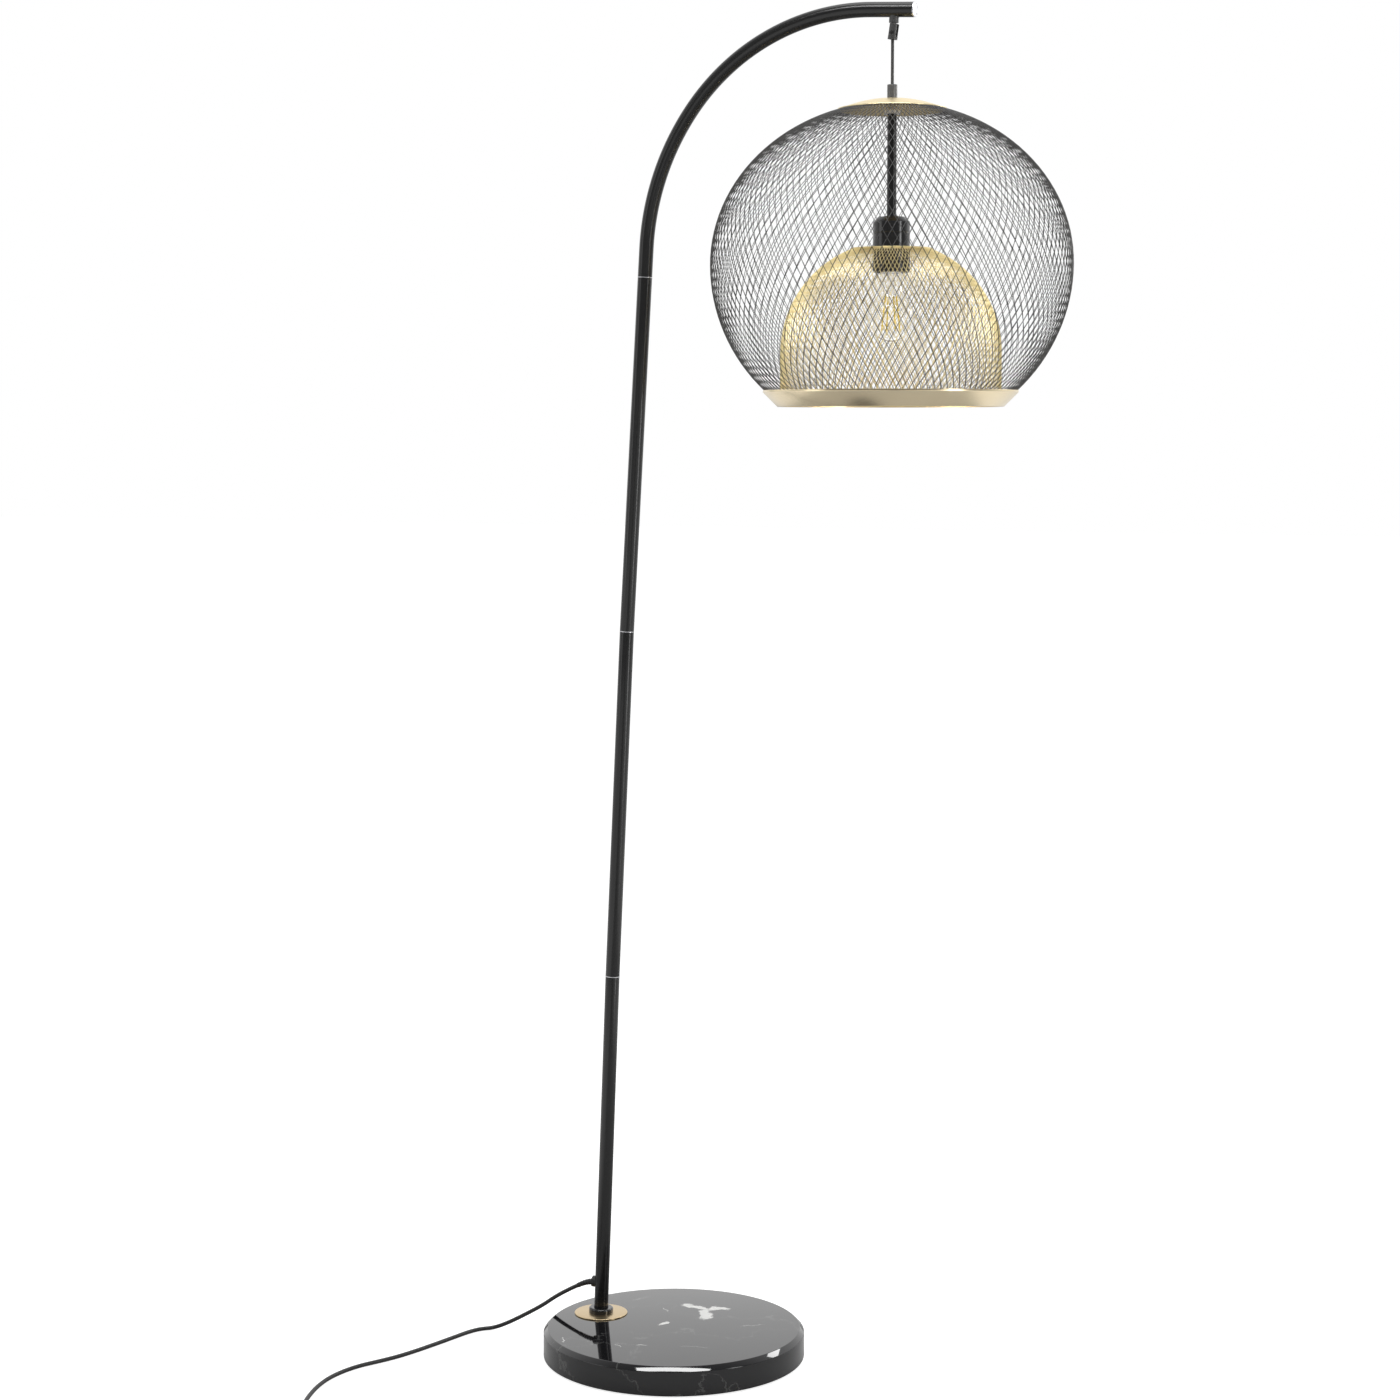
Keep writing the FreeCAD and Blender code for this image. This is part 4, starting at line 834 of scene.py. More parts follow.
@dataclass
class Pole(Group):
    """Three straight tubes, the bent arm with its bright cap, and the neck that the shade hangs from."""

    radius: float = 9.5
    wall: float = 1.0
    length: float = 465.0
    leans: Triple = (2.3, 2.76, 3.35)
    feet: Triple = (-0.3, 0.0, 0.0)
    seam: float = 1.1
    roll: float = 0.4
    rise: float = 37.0
    bends: tuple[tuple[float, float], ...] = ((322.0, 34.5), (288.0, 55.2))
    reach: float = 57.0
    cap_thickness: float = 1.5
    cap_depth: float = 6.0
    tip: Vector = field(default_factory=Vector)
    tip_angle: float = 0.0

    def build(self) -> None:
        """Build the tubes, the arm, its cap, and dress the neck and the couplers."""
        start = Vector((*FOOT_AXIS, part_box("foot_flange")[1].z))
        names, after = ("lower", "middle", "upper"), (*self.leans[1:], self.leans[-1])
        for name, lean, following, foot in zip(names, self.leans, after, self.feet):
            self.tube(name, start, lean, foot)
            seam = heading((lean + following) / 2) * self.seam * MM
            start = start + heading(lean) * self.length * MM + seam
        self.arm(start)
        self.end_cap()
        self.keep("hanger_neck", "hanger_saddle", Look.CLIP_PAINT)
        Look.ZINC.dress("coupler_lower", "coupler_middle", "coupler_upper")
        Look.SHEATH.dress("pole_cable")

    def tube(self, name: str, start: Vector, lean: float, low: float) -> None:
        """One straight tube with lightly rolled ends.

        Args:
            name: which of the three it is.
            start: the middle of its lower end.
            lean: degrees from upright.
            low: how far over the start its edge is, less than nothing where it sinks into the disc.
        """
        radius, inner, roll = self.radius, self.radius - self.wall, self.roll
        outline = [(inner, low), *arc((radius - roll, low + roll), roll, -90, 0, 4)]
        outline += [(radius, self.length * part) for part in (0.25, 0.5, 0.75)]
        outline += [*arc((radius - roll, self.length - roll), roll, 0, 90, 4), (inner, self.length)]
        self.turn(f"{name}_tube", f"pole_{name}", Look.SATIN_PAINT, outline, 64, 40.0, start, lean)

    @staticmethod
    def straight(angle: float, length: float) -> Vector:
        """Sweep what is selected straight on, and tell the step that was made."""
        step = heading(angle) * length * MM
        bpy.ops.mesh.extrude_region_move(TRANSFORM_OT_translate={"value": step})
        return step

    def arm(self, start: Vector) -> None:
        """The arm, swept from a circle through a straight rise, two bends and a straight end."""
        angle = self.leans[-1]
        arm = add(
            bpy.ops.mesh.primitive_circle_add, "bent_arm", vertices=64, radius=self.radius * MM,
            fill_type="NOTHING", location=start, rotation=(0.0, math.radians(angle), 0.0),
        )
        bpy.ops.object.transform_apply(location=True, rotation=True, scale=True)
        with editing(arm, "SELECT"):
            here = start + self.straight(angle, self.rise)
            for radius, turn in self.bends:
                centre = here + heading(angle + 90) * radius * MM
                bpy.ops.mesh.spin(
                    steps=int(turn), angle=math.radians(turn), center=centre, axis=(0.0, -1.0, 0.0)
                )
                angle += turn
                here = centre - heading(angle + 90) * radius * MM
            here = here + self.straight(angle, self.reach)
            weld()
        reached = max(vertex.co.x for vertex in arm.data.vertices)
        if abs(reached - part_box("arm_tube")[1].x) > 2 * MM:
            raise ValueError(f"the arm ends at {reached:.4f} m")
        modify(arm, "SOLIDIFY", thickness=self.wall * MM, offset=-1.0)
        smooth(arm, 40.0)
        self.tip, self.tip_angle = here, angle
        finish_piece(arm, self.body, Look.SATIN_PAINT, "arm_tube")

    def end_cap(self) -> None:
        """The bright turned cap on the arm's end, with a shallow groove in its face."""
        radius, thick, edge = self.radius, self.cap_thickness, 0.5
        spigot = radius - self.wall - 0.1
        outline = [(0.0, -self.cap_depth), (spigot, -self.cap_depth), (spigot, 0.0)]
        outline += [(radius, 0.0), *arc((radius - edge, thick - edge), edge, 0, 90, 4)]
        outline += [(radius - 1.6, thick), (radius - 1.9, thick - 0.25), (radius - 2.3, thick - 0.25)]
        outline += [(radius - 2.6, thick), (2.0, thick + 0.15), (0.0, thick + 0.2)]
        self.turn(
            "arm_tip_cap", "arm_end_cap", Look.BRIGHT, outline, 64, place=self.tip, lean=self.tip_angle
        )


# ---------------------------------------------------------------- shade
@dataclass
class WireShell:
    """A shell of wires: as many strands lean one way as the other, and all diamonds have one side."""

    name: str
    line: Outline
    strands: int
    side: float
    wire: float
    hoop: float = 0.6

    def rows(self) -> Outline:
        """The places of the crossings along the shell's line, from its lower edge to its top.

        Returns:
            One point for each row of crossings, as distance from the axis and height.
        """
        along = [0.0]
        for here, there in zip(self.line, self.line[1:]):
            along.append(along[-1] + math.dist(here, there))

        def at(distance: float) -> tuple[float, float]:
            """The line's point at a distance along it."""
            index = max(next((i for i, far in enumerate(along) if far >= distance), len(along) - 1), 1)
            part = (distance - along[index - 1]) / (along[index] - along[index - 1])
            low, high = self.line[index - 1], self.line[index]
            return low[0] + part * (high[0] - low[0]), low[1] + part * (high[1] - low[1])

        distances = [0.0]
        while distances[-1] < along[-1]:
            across = math.pi * at(distances[-1])[0] / self.strands
            distances.append(distances[-1] + math.sqrt(self.side**2 - across**2))
        stretch = along[-1] / distances[-1]
        return [at(distance * stretch) for distance in distances]

    def build(self, place: Vector, body: str, look: Look, *nodes: str) -> Piece:
        """Model one strand, repeat it round the axis, mirror it, and add a hoop at each edge.

        Args:
            place: the shell's own origin in the lamp's frame.
            body: the body that it rides on.
            look: its finish.
            *nodes: the solids that it replaces.

        Returns:
            The finished shell.
        """
        rows = self.rows()
        points = []
        for index, (radius, height) in enumerate(rows):
            turn = index * math.pi / self.strands
            points.append((radius * math.cos(turn) * MM, radius * math.sin(turn) * MM, height * MM))
        shell = as_mesh(rod(self.name, "POLY", points, self.wire * MM, 0))
        bpy.ops.object.select_all(action="DESELECT")
        bpy.ops.object.empty_add(rotation=(0.0, 0.0, math.tau / self.strands))
        pivot = bpy.context.view_layer.objects.active
        modify(
            shell, "ARRAY", count=self.strands, use_relative_offset=False, use_object_offset=True,
            offset_object=pivot,
        )
        remove(pivot)
        modify(shell, "MIRROR", use_axis=(False, True, False), use_mirror_merge=False)
        hoops = [
            add(
                bpy.ops.mesh.primitive_torus_add, f"{self.name}_hoop", major_radius=radius * MM,
                minor_radius=self.hoop * MM, major_segments=self.strands, minor_segments=8,
                location=(0.0, 0.0, height * MM),
            )
            for radius, height in (rows[0], rows[-1])
        ]
        pick(shell)
        for hoop in hoops:
            hoop.select_set(True)
        bpy.ops.object.join()
        shell.name = self.name
        settle(shell, place)
        smooth(shell, 60.0)
        return finish_piece(shell, body, look, *nodes)


@dataclass
class Shade(Group):
    """The wire cage with its cap, ferrule, stem and bright ring."""

    body: str = "shade"
    level: float = 1446.0
    radius: float = 229.0
    upper_half: float = 202.0
    lower_half: float = 221.0
    top_radius: float = 69.0
    drop: float = 159.0
    strands: int = 120
    diamond: float = 12.35
    wire: float = 0.44
    line_steps: int = 240
    cap_rise: float = 14.5
    cap_wall: float = 1.2
    cap_bore: float = 6.2
    ring_top: float = 161.8
    ring_bottom: float = 143.6

    def centre(self) -> Vector:
        """The middle of the cage's widest level."""
        return on_stem(self.level * MM)

    def rim(self) -> float:
        """The height of the cage's top edge above its widest level."""
        return self.upper_half * math.sqrt(1 - (self.top_radius / self.radius) ** 2)

    def cage_line(self) -> Outline:
        """The middle of the cage's wires: two stretches of oval that meet at the widest level."""
        low = -math.asin(self.drop / self.lower_half)
        high = math.acos(self.top_radius / self.radius)
        points = []
        for step in range(self.line_steps + 1):
            angle = low + (high - low) * step / self.line_steps
            half = self.upper_half if angle > 0 else self.lower_half
            points.append((self.radius * math.cos(angle) - self.wire, half * math.sin(angle)))
        return points

    def build(self) -> None:
        """Build the cage and everything that is fixed to it above the lamp holder."""
        cage = WireShell("wire_cage", self.cage_line(), self.strands, self.diamond, self.wire)
        cage.build(self.centre(), self.body, Look.WIRE_PAINT, "outer_cage")
        self.cap()
        self.ferrule()
        self.ring()
        self.stem()
        self.keep("cage_plate", "cage_top_plate", Look.PLATE_BRASS)
        Look.ZINC.dress("cap_nut")
        Look.SHEATH.dress("stem_cable")

    def cap(self) -> None:
        """The shallow spun cap with a rolled bright edge."""
        rise, rim, bore, bead = self.cap_rise, self.top_radius, self.cap_bore, 1.0
        sphere = (rim**2 + rise**2) / (2 * rise)
        low = self.rim()
        top = low + rise
        edge, crown = math.degrees(math.acos((rim - 0.8) / sphere)), 88.0
        outline = [(bore, top), *arc((0.0, top - sphere), sphere, crown, edge, 24)]
        outline += [*arc((rim - bead, low + bead), bead, 40, -90, 6), (rim - 2.6, low)]
        outline += arc((0.0, top - sphere), sphere - self.cap_wall, edge + 1.0, crown, 24)
        outline += [(bore, top - self.cap_wall)]
        self.turn("brass_cap", "shade_cap", Look.CAP_BRASS, outline, 128, place=self.centre())

    def ferrule(self) -> None:
        """The small tube that grips the cord on top of the cap, with a rounded upper edge."""
        height, radius, bore, roll = rise_of("cord_ferrule"), 6.4, 2.4, 0.7
        outline = [(bore, 0.0), (radius - 0.2, 0.0), (radius, 0.3), (radius, height / 2)]
        outline += [*arc((radius - roll, height - roll), roll, 0, 90, 4), (bore, height)]
        self.turn("cord_grip", "cord_ferrule", Look.FERRULE_PAINT, outline, 48)

    def ring(self) -> None:
        """The polished ring at the cage's mouth: a slanted band with crisp edges and a lip inside."""
        low, high = (corner.z / MM - self.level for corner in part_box("bottom_ring"))
        top, bottom, crisp, band, lip = self.ring_top, self.ring_bottom, 0.35, 3.0, 1.5
        outline = [(top - 3.6, high - lip), (top - 1.8, high - 0.2)]
        outline += arc((top - crisp, high - crisp), crisp, 90, 0, 3)
        outline += arc((top - crisp, high - band + crisp), crisp, 0, -45, 3)
        outline += arc((bottom - crisp, low + crisp), crisp, -45, -90, 3)
        outline += [(bottom - 5.6, low), (bottom - 5.6, low + lip), (bottom - 2.0, low + lip)]
        outline += [(top - 4.3, high - band), (top - 4.3, high - lip)]
        self.turn("polished_ring", "bottom_ring", Look.RING_BRASS, outline, 192, 20.0, self.centre())

    def stem(self) -> None:
        """The thin tube from the cap down to the lamp holder."""
        height, radius, bore = rise_of("shade_stem"), 6.0, 4.6
        outline = [(bore, 0.0), (radius, 0.0), (radius, height * 0.5), (radius, height), (bore, height)]
        self.turn("shade_stem_tube", "shade_stem", Look.SATIN_PAINT, outline, 48)


@dataclass
class LampHolder(Group):
    """The black lamp holder, with its shoulder, ribs and the ring that clamps the inner dome."""

    body: str = "shade"
    radius: float = 23.5
    bore: float = 17.6
    neck: float = 19.5
    shoulder: float = 6.0
    shell_height: float = 19.0
    rib_pitch: float = 3.0
    rib_count: int = 9
    grip_stretch: float = 3.75

    def build(self) -> None:
        """Build the holder's cap, shell and clamp ring, and dress what is inside."""
        self.cap()
        self.shell()
        self.clamp()
        Look.PORCELAIN.dress("holder_contacts")
        self.keep("holder_sleeve", "threaded_sleeve", Look.BULB_METAL)

    def cap(self) -> None:
        """The cap, with its bevelled shoulder and the collar round the stem."""
        height, radius, bend, wall = rise_of("holder_cap"), self.radius, self.shoulder, 2.0
        outline = [(21.0, 0.0), (radius - 0.5, 0.0), (radius, 0.6), (radius, height / 2)]
        outline += [(radius, height - bend - 0.5), (radius - 0.3, height - bend)]
        outline += [(radius - bend, height - 0.3), (radius - bend - 0.5, height)]
        outline += [(9.0, height), (8.6, height + 1.2), (6.1, height + 1.2), (4.7, height)]
        outline += [(4.7, height - wall), (17.0, height - wall), (21.0, height - bend - wall)]
        self.turn("holder_top", "holder_cap", Look.HOLDER_BLACK, outline, 64, 24.0)

    def shell(self) -> None:
        """The shell above the dome's plate and the threaded neck below it."""
        height, radius, neck, bore = rise_of("holder_shell"), self.radius, self.neck, self.bore
        outline = [(bore, 0.0), (neck - 0.6, 0.0)]
        for index in range(self.rib_count):
            foot = 1.0 + index * self.rib_pitch
            outline += [(neck - 0.7, foot), (neck, foot + 0.8), (neck, foot + 1.6)]
        outline += [(neck - 0.4, height - self.shell_height), (radius, height - self.shell_height)]
        outline += [(radius, height - 0.6), (radius - 0.5, height), (bore, height)]
        self.turn("holder_body", "holder_shell", Look.HOLDER_BLACK, outline, 64, 20.0)

    def clamp(self) -> None:
        """The ring under the dome's plate, with upright grips round it."""
        height, radius, bore, roll = rise_of("holder_ring"), self.radius, self.neck + 0.1, 3.0
        outline = [(bore, 0.0), *arc((radius - roll, roll), roll, -90, 0, 8), (radius, height - 1.0)]
        outline += [(radius - 1.0, height), (bore, height)]
        ring = turned("dome_clamp_ring", outline, 96, 20.0)
        limit = (radius - 0.2) * MM

        def grips(middle: Vector, normal: Vector) -> bool:
            """Every other upright stretch of the ring's outside."""
            stretch = int(math.degrees(math.atan2(middle.y, middle.x)) // self.grip_stretch)
            return middle.xy.length > limit and abs(normal.z) < 0.1 and stretch % 2 == 0

        with editing(ring):
            select_where(ring, "FACE", grips)
            bpy.ops.mesh.inset(thickness=0.3 * MM, depth=-0.5 * MM, use_individual=True)
        smooth(ring, 20.0)
        settle(ring, on_stem(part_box("holder_ring")[0].z))
        finish_piece(ring, self.body, Look.HOLDER_BLACK, "holder_ring")


@dataclass
class InnerDome(Group):
    """The gold wire dome round the bulb, with its flat plate."""

    body: str = "shade"
    radius: float = 140.0
    top_radius: float = 52.0
    plate_bore: float = 19.6
    lip: float = 1.5
    strands: int = 114
    diamond: float = 8.4
    wire: float = 0.43

    def line(self) -> Outline:
        """The dome's outline: a straight wall and an arc over it, as distance from the axis and height."""
        low = (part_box("bottom_ring")[0].z / MM) + self.lip
        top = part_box("dome_plate")[0].z / MM
        centre = top - math.sqrt(self.radius**2 - self.top_radius**2)
        reach = self.radius - self.wire
        high = math.degrees(math.asin((top - centre) / self.radius))
        wall = [(reach, low + (centre - low) * step / 20) for step in range(20)]
        return wall + arc((0.0, centre), reach, 0.0, high, 120)

    def build(self) -> None:
        """Build the mesh and its plate, which has a rounded rim and a groove."""
        shell = WireShell("gold_dome", self.line(), self.strands, self.diamond, self.wire)
        shell.build(on_stem(0.0), self.body, Look.GOLD, "inner_dome")
        radius, thick, bore, rim = radius_of("dome_plate"), rise_of("dome_plate"), self.plate_bore, 0.75
        outline = [(bore, 0.0), (radius - 1.2, 0.0), *arc((radius - rim, thick / 2), rim, -90, 90, 6)]
        outline += [(radius - 4.0, thick), (radius - 4.6, thick - 0.4), (radius - 5.2, thick), (bore, thick)]
        self.turn("dome_top_plate", "dome_plate", Look.GOLD, outline)


@dataclass
class Bulb(Group):
    """The clear bulb: a round glass with a flared neck, a screw base, and upright yellow filaments."""

    body: str = "bulb"
    radius: float = 30.0
    neck: float = 13.8
    flare: float = 40.0
    drop: float = 57.0
    wall: float = 0.9
    base_radius: float = 13.2
    thread_pitch: float = 3.6
    thread_depth: float = 0.45
    thread_turns: int = 5

    def glass_line(self, inset: float) -> Outline:
        """The glass from its neck to its lowest point, on the outside or inset by the wall."""
        ball, neck, flare = self.radius - inset, self.neck - inset, self.flare + inset
        level = -self.drop + math.sqrt((ball + flare) ** 2 - (neck + flare) ** 2)
        meet = math.degrees(math.atan2(level + self.drop, neck + flare))
        shoulder = arc((neck + flare, level), flare, 180.0, 180.0 + meet, 14)
        return [(neck, 0.0), *shoulder, *arc((0.0, -self.drop), ball, meet, -90.0, 40)[1:]]

    def build(self) -> None:
        """Build the glass, the screw base and the filaments."""
        place = on_stem(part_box("bulb_glass")[1].z)
        outline = self.glass_line(0.0) + self.glass_line(self.wall)[::-1]
        self.turn("bulb_envelope", "bulb_glass", Look.GLASS, outline, place=place)
        self.screw_base(place)
        self.keep("bulb_stem", "bulb_glass_stem", Look.GLASS)
        self.keep("bulb_filaments", "bulb_rods", Look.FILAMENT, 40.0)

    def screw_base(self, place: Vector) -> None:
        """The drawn metal base with its rolled thread and its tip."""
        radius, deep, skirt, steps = self.base_radius, self.thread_depth, 2.0, 8
        outline = [(0.0, 0.0), (radius, 0.0), (radius, skirt)]
        for index in range(self.thread_turns * steps + 1):
            wave = math.cos(math.tau * index / steps)
            outline.append((radius - deep + deep * wave, skirt + self.thread_pitch * index / steps))
        outline += [(radius - 1.5, 22.5), (7.0, 24.6), (5.0, 25.0)]
        outline += [*arc((3.5, 25.5), 1.5, 0, 90, 4), (0.0, 27.0)]
        self.turn("bulb_screw_base", "bulb_base", Look.BULB_METAL, outline, 64, place=place)


@dataclass
class Hanger:
    """The swivel clip and the cord that the shade hangs by."""

    def build(self) -> None:
        """Dress the clip, its screws and the cord."""
        clip = smoothed_copy("swivel_clip", "cord_clip")
        ease(clip, 0.3, 2, 50)
        smooth(clip, 40.0)
        finish_piece(clip, "clip", Look.CLIP_PAINT, "swivel_clip")
        Group("clip").keep("clip_screws", "clip_socket_screws", Look.BLACK_SCREW)
        Group("cord").keep("hang_cord", "hanging_cord", Look.HANG_SHEATH, 40.0)


# ---------------------------------------------------------------- mains lead
@dataclass
class MainsLead(Group):
    """The mains lead on the floor, its foot switch, the put-away coil and the plug."""

    radius: float = 2.75
    hanging_route: tuple[Triple, ...] = (
        (-118.95, 14.0, 82.21), (-132.0, 14.0, 82.2), (-153.0, 13.8, 72.0), (-180.0, 12.8, 56.5),
        (-202.0, 11.6, 40.0), (-227.0, 9.6, 25.0), (-250.0, 6.6, 12.0),
    )
    floor_route: tuple[tuple[float, float], ...] = (
        (-271.0, 1.0), (-287.0, -11.0), (-296.0, -31.0), (-303.0, -59.0), (-312.0, -93.0), (-322.0, -128.0),
        (-333.0, -160.0), (-347.0, -188.0), (-361.0, -212.0), (-370.0, -240.0), (-374.0, -272.0),
        (-371.0, -306.0), (-363.0, -340.0), (-352.5, -372.0), (-342.0, -399.0), (-332.5, -422.5),
    )
    switch_length: float = 60.0
    switch_width: float = 28.0
    coil_turns: float = 3.25
    coil_outer: float = 41.5
    coil_pitch: float = 6.6
    coil_reach: float = 60.0
    turn_points: int = 16
    plug_length: float = 34.0
    plug_width: float = 26.0

    def on_floor(self, index: int) -> Vector:
        """A point of the floor route, at the height of a lead that lies on the floor."""
        return Vector((*self.floor_route[index], self.radius))

    def way(self) -> Vector:
        """The lead's direction where it enters the switch, at its route's last point."""
        return (self.on_floor(-1) - self.on_floor(-2)).normalized()

    def beyond(self, along: float, across: float, up: float = 0.0) -> Vector:
        """A place by the switch: along the lead from its entry, across to its left, and up from the floor."""
        way = self.way()
        place = self.on_floor(-1) + way * along + Vector((-way.y, way.x, 0.0)) * across
        return Vector((place.x, place.y, up))

    def build(self) -> None:
        """Build the lead, the pieces on it and the coil."""
        route = [*map(Vector, self.hanging_route), *map(self.on_floor, range(len(self.floor_route)))]
        lead = self.cord("mains_lead", route)
        finish_piece(lead, self.body, Look.SHEATH, "mains_cord")
        coil = self.cord("lead_coil", self.coil_points())
        finish_piece(coil, self.body, Look.SHEATH, "mains_coil")
        self.keep("cord_grommet", "pole_bushing", Look.PLASTIC, 40.0)
        lead_line = self.line_of(lead)
        coil_line = self.line_of(coil)
        reliefs = [
            self.relief("pole_relief", lead_line, 8.0, 24.0, 4.3, 3.2),
            self.relief("switch_relief_in", lead_line[::-1], -1.0, 22.0, 5.0, 3.3),
            self.relief("switch_relief_out", coil_line, -1.0, 22.0, 5.0, 3.3),
            self.relief("plug_relief", coil_line[::-1], -1.0, 24.0, 5.4, 3.3),
        ]
        switch = self.switch()
        plug = self.plug()
        2 * self.radius * MM
        2 * self.radius * MM
        LOG.info("lead %.3f m, coil %.3f m", self.length_of(lead_line), self.length_of(coil_line))

    def cord(self, name: str, points: Sequence[Vector]) -> Piece:
        """A smooth lead with the route's points as its control points, in millimetres."""
        return rod(name, "NURBS", [place * MM for place in points], self.radius * MM, 5)

    @staticmethod
    def line_of(piece: Piece) -> list[Vector]:
        """The points that a lead follows, read from its own spline, in metres."""
        bare = piece.data.copy()
        bare.bevel_depth = 0.0
        bare.use_fill_caps = False
        holder = linked("bare_line", bare)
        bpy.context.view_layer.update()
        mesh = bpy.data.meshes.new_from_object(holder)
        points = [vertex.co.copy() for vertex in mesh.vertices]
        bpy.data.objects.remove(holder)
        bpy.data.meshes.remove(mesh)
        return points

    @staticmethod
    def length_of(line: Sequence[Vector]) -> float:
        """The length of a line of points, in metres."""
        return sum((there - here).length for here, there in zip(line, line[1:]))

    def coil_points(self) -> list[Vector]:
        """The coil's control points: in by a wide quarter turn, round, and out by another."""
        reach, pitch, turned_in, low = self.coil_reach, self.coil_pitch, self.coil_turns, self.radius
        join = self.switch_length + 2 * low
        middle = join + reach - self.coil_outer
        inner, climb = self.coil_outer - pitch * turned_in, 0.5
        climb_end = turned_in + climb
        quarter = self.turn_points // 4
        bend = [math.pi / 2 * index / quarter for index in range(1, quarter + 1)]
        spots = [(self.switch_length, 0.0, low), (join, 0.0, low)]
        spots += [(join + reach * math.sin(angle), reach * (1 - math.cos(angle)), low) for angle in bend[:-1]]
        for index in range(int((climb_end + turned_in) * self.turn_points) + 1):
            turns = index / self.turn_points
            if turns <= turned_in:
                radius, level = self.coil_outer - pitch * turns, 0.0
            elif turns < climb_end:
                radius, level = inner, pitch * (turns - turned_in) / climb
            else:
                radius, level = inner + pitch * (turns - climb_end), pitch
            angle = math.tau * turns
            spots.append((middle + radius * math.cos(angle), reach + radius * math.sin(angle), low + level))
        last, high = middle + self.coil_outer, low + pitch
        for angle in bend:
            spots.append((last - reach * (1 - math.cos(angle)), reach + reach * math.sin(angle), high))
        spots.append((last - reach - 2 * low, 2 * reach, high))
        return [self.beyond(*spot) for spot in spots]

    def relief(
        self, name: str, line: Sequence[Vector], start: float, length: float, thick: float, thin: float
    ) -> Piece:
        """A tapered strain relief on the lead, with grooves, and flat where it would reach below the floor.

        Args:
            name: the piece's name.
            line: the lead's points from the end that the relief is at.
            start: how far along the line it starts.
            length: its length.
            thick: its radius at the start.
            thin: its radius at the end.

        Returns:
            The relief.
        """
        steps, groove, least, clearance = 24, 0.86, self.radius + 0.15, 0.05
        points, radii = [], []
        for index in range(steps + 1):
            share = index / steps
            cut = groove if index % 4 == 3 and index < steps - 1 else 1.0
            points.append(self.point_on(line, (start + length * share) * MM))
            radii.append(max((thick + (thin - thick) * share) * cut, least))
        piece = as_mesh(rod(name, "POLY", points, MM, 4, radii))
        level, up = (0.0, 0.0, clearance * MM), (0.0, 0.0, 1.0)
        with editing(piece, "SELECT"):
            bpy.ops.mesh.bisect(plane_co=level, plane_no=up, use_fill=True, clear_inner=True)
        smooth(piece, 50.0)
        return finish_piece(piece, self.body, Look.PLASTIC)

    @staticmethod
    def point_on(line: Sequence[Vector], distance: float) -> Vector:
        """The point at a distance along a line, or before its start, in metres."""
        if distance <= 0:
            return line[0] + (line[0] - line[1]).normalized() * -distance
        for here, there in zip(line, line[1:]):
            step = (there - here).length
            if distance <= step:
                return here.lerp(there, distance / step)
            distance -= step
        return line[-1]

    @staticmethod
    def block(name: str, length: float, width: float, low: float, high: float, corner: float) -> Piece:
        """A block that lies along +X from the origin, with rounded upright corners."""
        block = add(bpy.ops.mesh.primitive_cube_add, name, size=MM)
        with editing(block, "SELECT"):
            bpy.ops.transform.resize(value=(length, width, high - low))
            bpy.ops.transform.translate(value=(length / 2 * MM, 0.0, (low + high) / 2 * MM))
            select_where(block, "EDGE", lambda one, two: abs(one.z - two.z) > MM)
            bpy.ops.mesh.bevel(offset=corner * MM, segments=6, affect="EDGES")
        return block

    def settle_by_switch(
        self, piece: Piece, angle: float, along: float = 0.0, across: float = 0.0, turn: float = 0.0
    ) -> None:
        """Move a piece from the origin to a place by the switch, in line with the lead.

        Args:
            piece: the piece.
            angle: the sharpest edge that is shaded smooth, in degrees.
            along: how far it goes along the lead from the switch's entry.
            across: how far it goes to the lead's left.
            turn: how far it is turned against the lead, in radians.
        """
        way = self.way()
        settle(piece, self.beyond(along, across) * MM, turn=math.atan2(way.y, way.x) + turn)
        smooth(piece, angle)

    def switch(self) -> list[Piece]:
        """The foot switch: a lower shell, a rounded cover with a hole, and a round button with a dished top.
        """
        length, width, corner, button_radius = self.switch_length, self.switch_width, 5.0, 8.0
        base_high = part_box("switch_base")[1].z / MM
        cover_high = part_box("switch_cover")[1].z / MM
        base = self.block("switch_tray", length, width, 0.0, base_high - 0.2, corner)
        ease(base, 0.8, 3, 60)
        cover = self.block("switch_lid", length, width, base_high, cover_high, corner)
        with editing(cover):
            select_where(cover, "EDGE", lambda one, two: min(one.z, two.z) > (cover_high - 0.1) * MM)
            bpy.ops.mesh.bevel(offset=2.5 * MM, segments=5, affect="EDGES")
        drill(cover, button_radius + 0.3, 60, Vector((length / 2 * MM, 0.0, cover_high * MM)), 64)
        ease(cover, 0.4, 2, 50)
        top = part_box("switch_button")[1].z / MM
        outline = [(0.0, top - 16.0), (button_radius, top - 16.0), (button_radius, top - 1.6)]
        outline += [*arc((6.6, top - 1.4), 1.4, 0, 90, 6), (5.6, top), (4.0, top - 0.5), (0.0, top - 0.8)]
        button = turned("switch_push", outline, 64)
        self.settle_by_switch(button, 32.0, length / 2)
        finish_piece(button, "button", Look.PLASTIC, "switch_button")
        for piece, node in ((base, "switch_base"), (cover, "switch_cover")):
            self.settle_by_switch(piece, 40.0)
            finish_piece(piece, self.body, Look.GLOSS_PLASTIC, node)
        return [base, cover, button]

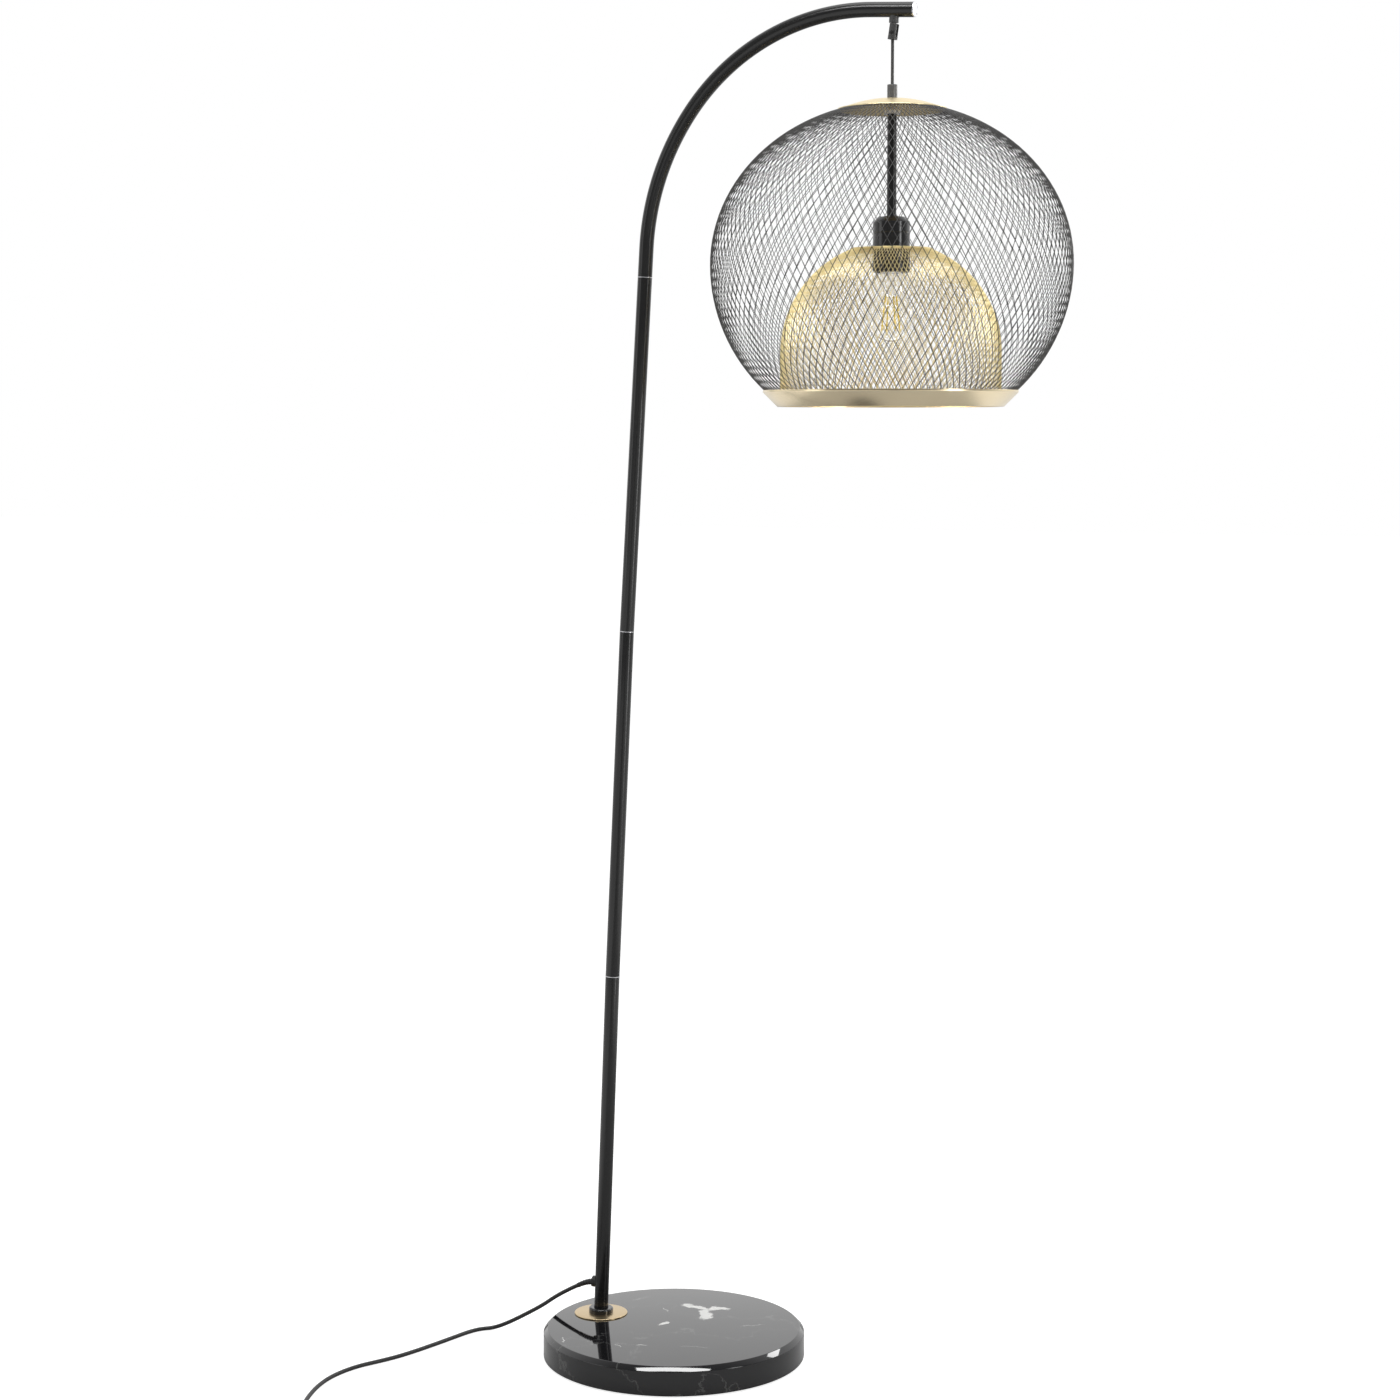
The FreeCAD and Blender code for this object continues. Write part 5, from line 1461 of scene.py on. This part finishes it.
    def plug(self) -> list[Piece]:
        """The plug that lies on the floor beside the coil, with a narrowed end, and its two flat pins."""
        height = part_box("plug_body")[1].z / MM
        body = self.block("plug_grip", self.plug_length, self.plug_width, 0.0, height, 4.0)
        with editing(body):
            select_where(body, "FACE", lambda middle, normal: normal.x < -0.9)
            bpy.ops.mesh.extrude_region_move(TRANSFORM_OT_translate={"value": (-3.0 * MM, 0.0, 0.0)})
            bpy.ops.transform.resize(value=(1.0, 0.55, 0.62))
        ease(body, 2.2, 4, 45)
        self.settle_by_switch(body, 40.0, self.switch_length, 2 * self.coil_reach, math.pi)
        finish_piece(body, self.body, Look.PLASTIC, "plug_body")
        pins = smoothed_copy("plug_pins", "plug_blades", 20.0)
        ease(pins, 0.4, 2, 60)
        finish_piece(pins, self.body, Look.PIN_BRASS, "plug_pins")
        return [body, pins]


# ---------------------------------------------------------------- studio
@dataclass
class Softbox:
    """A soft rectangular light that the camera doesn't see: its place, target and spread in metres."""

    name: str
    place: Triple
    spread: tuple[float, float]
    watts: float
    target: Triple = (0.05, 0.0, 1.0)

    def build(self) -> None:
        """Add the light."""
        data = bpy.data.lights.new(self.name, "AREA")
        data.shape = "RECTANGLE"
        data.size, data.size_y = self.spread
        data.energy = self.watts
        light = linked(self.name, data)
        light.location = self.place
        way = Vector(self.target) - Vector(self.place)
        light.rotation_euler = way.to_track_quat("-Z", "Y").to_euler()
        light.visible_camera = False


@dataclass
class Studio:
    """The camera, the pale floor, the world and the soft lights. Lengths are in metres."""

    eye: Triple = (1.510, -3.4625, 1.240)
    pitch: float = 84.62
    bearing: float = 23.03
    lens: float = 74.1
    floor_level: float = -0.0006
    floor_shade: float = 0.46
    floor_glow: float = 0.84
    # floor_in_metal is the glow that metal reflects beside the strip; the strip round the lamp is painted
    # shade.
    floor_in_metal: float = 0.58
    strip_middle: float = 0.297
    strip_edge: tuple[float, float] = (1.02, 1.14)
    ambient_before: float = 0.22
    ambient_behind: float = 0.75
    softboxes: tuple[Softbox, ...] = (
        Softbox("key_softbox", (3.4, -0.7, 1.5), (0.6, 2.8), 26.0),
        Softbox("fill_softbox", (-2.6, -2.2, 1.7), (1.2, 2.2), 9.0),
        Softbox("top_softbox", (0.2, 0.1, 3.6), (1.6, 1.6), 14.0),
        Softbox("front_softbox", (0.53, -1.25, 3.6), (3.0, 0.45), 60.0, (0.1, -0.1, 0.5)),
        Softbox("spark_softbox", (1.83, 2.15, 2.1), (0.8, 0.5), 11.0, (0.1, 0.0, 0.1)),
    )

    def build(self) -> None:
        """Build everything that isn't the lamp."""
        self.camera()
        self.floor()
        self.world()
        for softbox in self.softboxes:
            softbox.build()

    def camera(self) -> None:
        """The camera at the photograph's viewing angle."""
        data = bpy.data.cameras.new("studio_camera")
        data.lens = self.lens
        data.sensor_width = 36.0
        data.clip_start, data.clip_end = 0.05, 60.0
        camera = linked("studio_camera", data)
        camera.location = self.eye
        camera.rotation_euler = (math.radians(self.pitch), 0.0, math.radians(self.bearing))
        bpy.context.scene.camera = camera

    def floor(self) -> None:
        """A wide pale floor that keeps the lamp's soft shadow and looks white to the camera.

        Bright metal sees the same white floor to the far left and right, but a darker one in the strip that
        the lamp stands in: painted shade, seen only in the metal's reflections.
        """
        floor = add(bpy.ops.mesh.primitive_plane_add, "studio_floor", size=60.0)
        floor.location = (0.0, 0.0, self.floor_level)
        made = bpy.data.materials.new("pale_studio_floor")
        graph = Graph(made)
        graph.tree.nodes.remove(graph.shader)
        colour = (*grey(self.floor_shade), 1.0)
        matte = graph.node("ShaderNodeBsdfDiffuse", None, {"Color": colour}).outputs[0]
        bearing = math.radians(self.bearing)
        sideways = (math.cos(bearing), math.sin(bearing), 0.0)
        # The strip round the lamp, darker only to glossy rays, is painted shade in the metal's reflections.
        off_middle = graph.measure("DOT_PRODUCT", graph.place(), sideways) - self.strip_middle
        beside = graph.step(graph.math("ABSOLUTE", off_middle), *self.strip_edge)
        strength = graph.seen() * self.floor_glow + graph.ray("Glossy") * beside * self.floor_in_metal
        glow = graph.node("ShaderNodeEmission", None, {"Strength": strength}).outputs[0]
        shown = graph.node("ShaderNodeAddShader", None, {0: matte, 1: glow}).outputs[0]
        graph.feed(graph.tree.nodes["Material Output"].inputs["Surface"], shown)
        floor.data.materials.append(made)

    def world(self) -> None:
        """White behind the lamp, and softer towards the side that it is seen from."""
        world = bpy.data.worlds.new("studio_world")
        bpy.context.scene.world = world
        graph = Graph(world)
        direction = graph.node("ShaderNodeTexCoord").outputs["Generated"]
        bearing = math.radians(self.bearing)
        behind = graph.measure("DOT_PRODUCT", direction, (-math.sin(bearing), math.cos(bearing), 0.0))
        ambient = self.ambient_before + graph.step(behind, -0.35, 0.55) * self.ambient_behind
        seen = graph.seen()
        backdrop = graph.tree.nodes["Background"]
        backdrop.inputs["Color"].default_value = (1.0, 1.0, 1.0, 1.0)
        graph.feed(backdrop.inputs["Strength"], seen + (1 - seen) * ambient)


def main() -> None:
    """Build the lamp's looks in order."""
    logging.basicConfig(level=logging.INFO, format="%(name)s: %(message)s")
    bpy.context.scene.view_settings.view_transform = "Standard"
    parts = (Studio(), MainsLead(), StoneBase(), Pole(), Hanger(), Shade(), LampHolder(), InnerDome(), Bulb())
    for part in parts:
        part.build()
        LOG.info("%s is done", type(part).__name__)


if __name__ == "__main__":
    main()
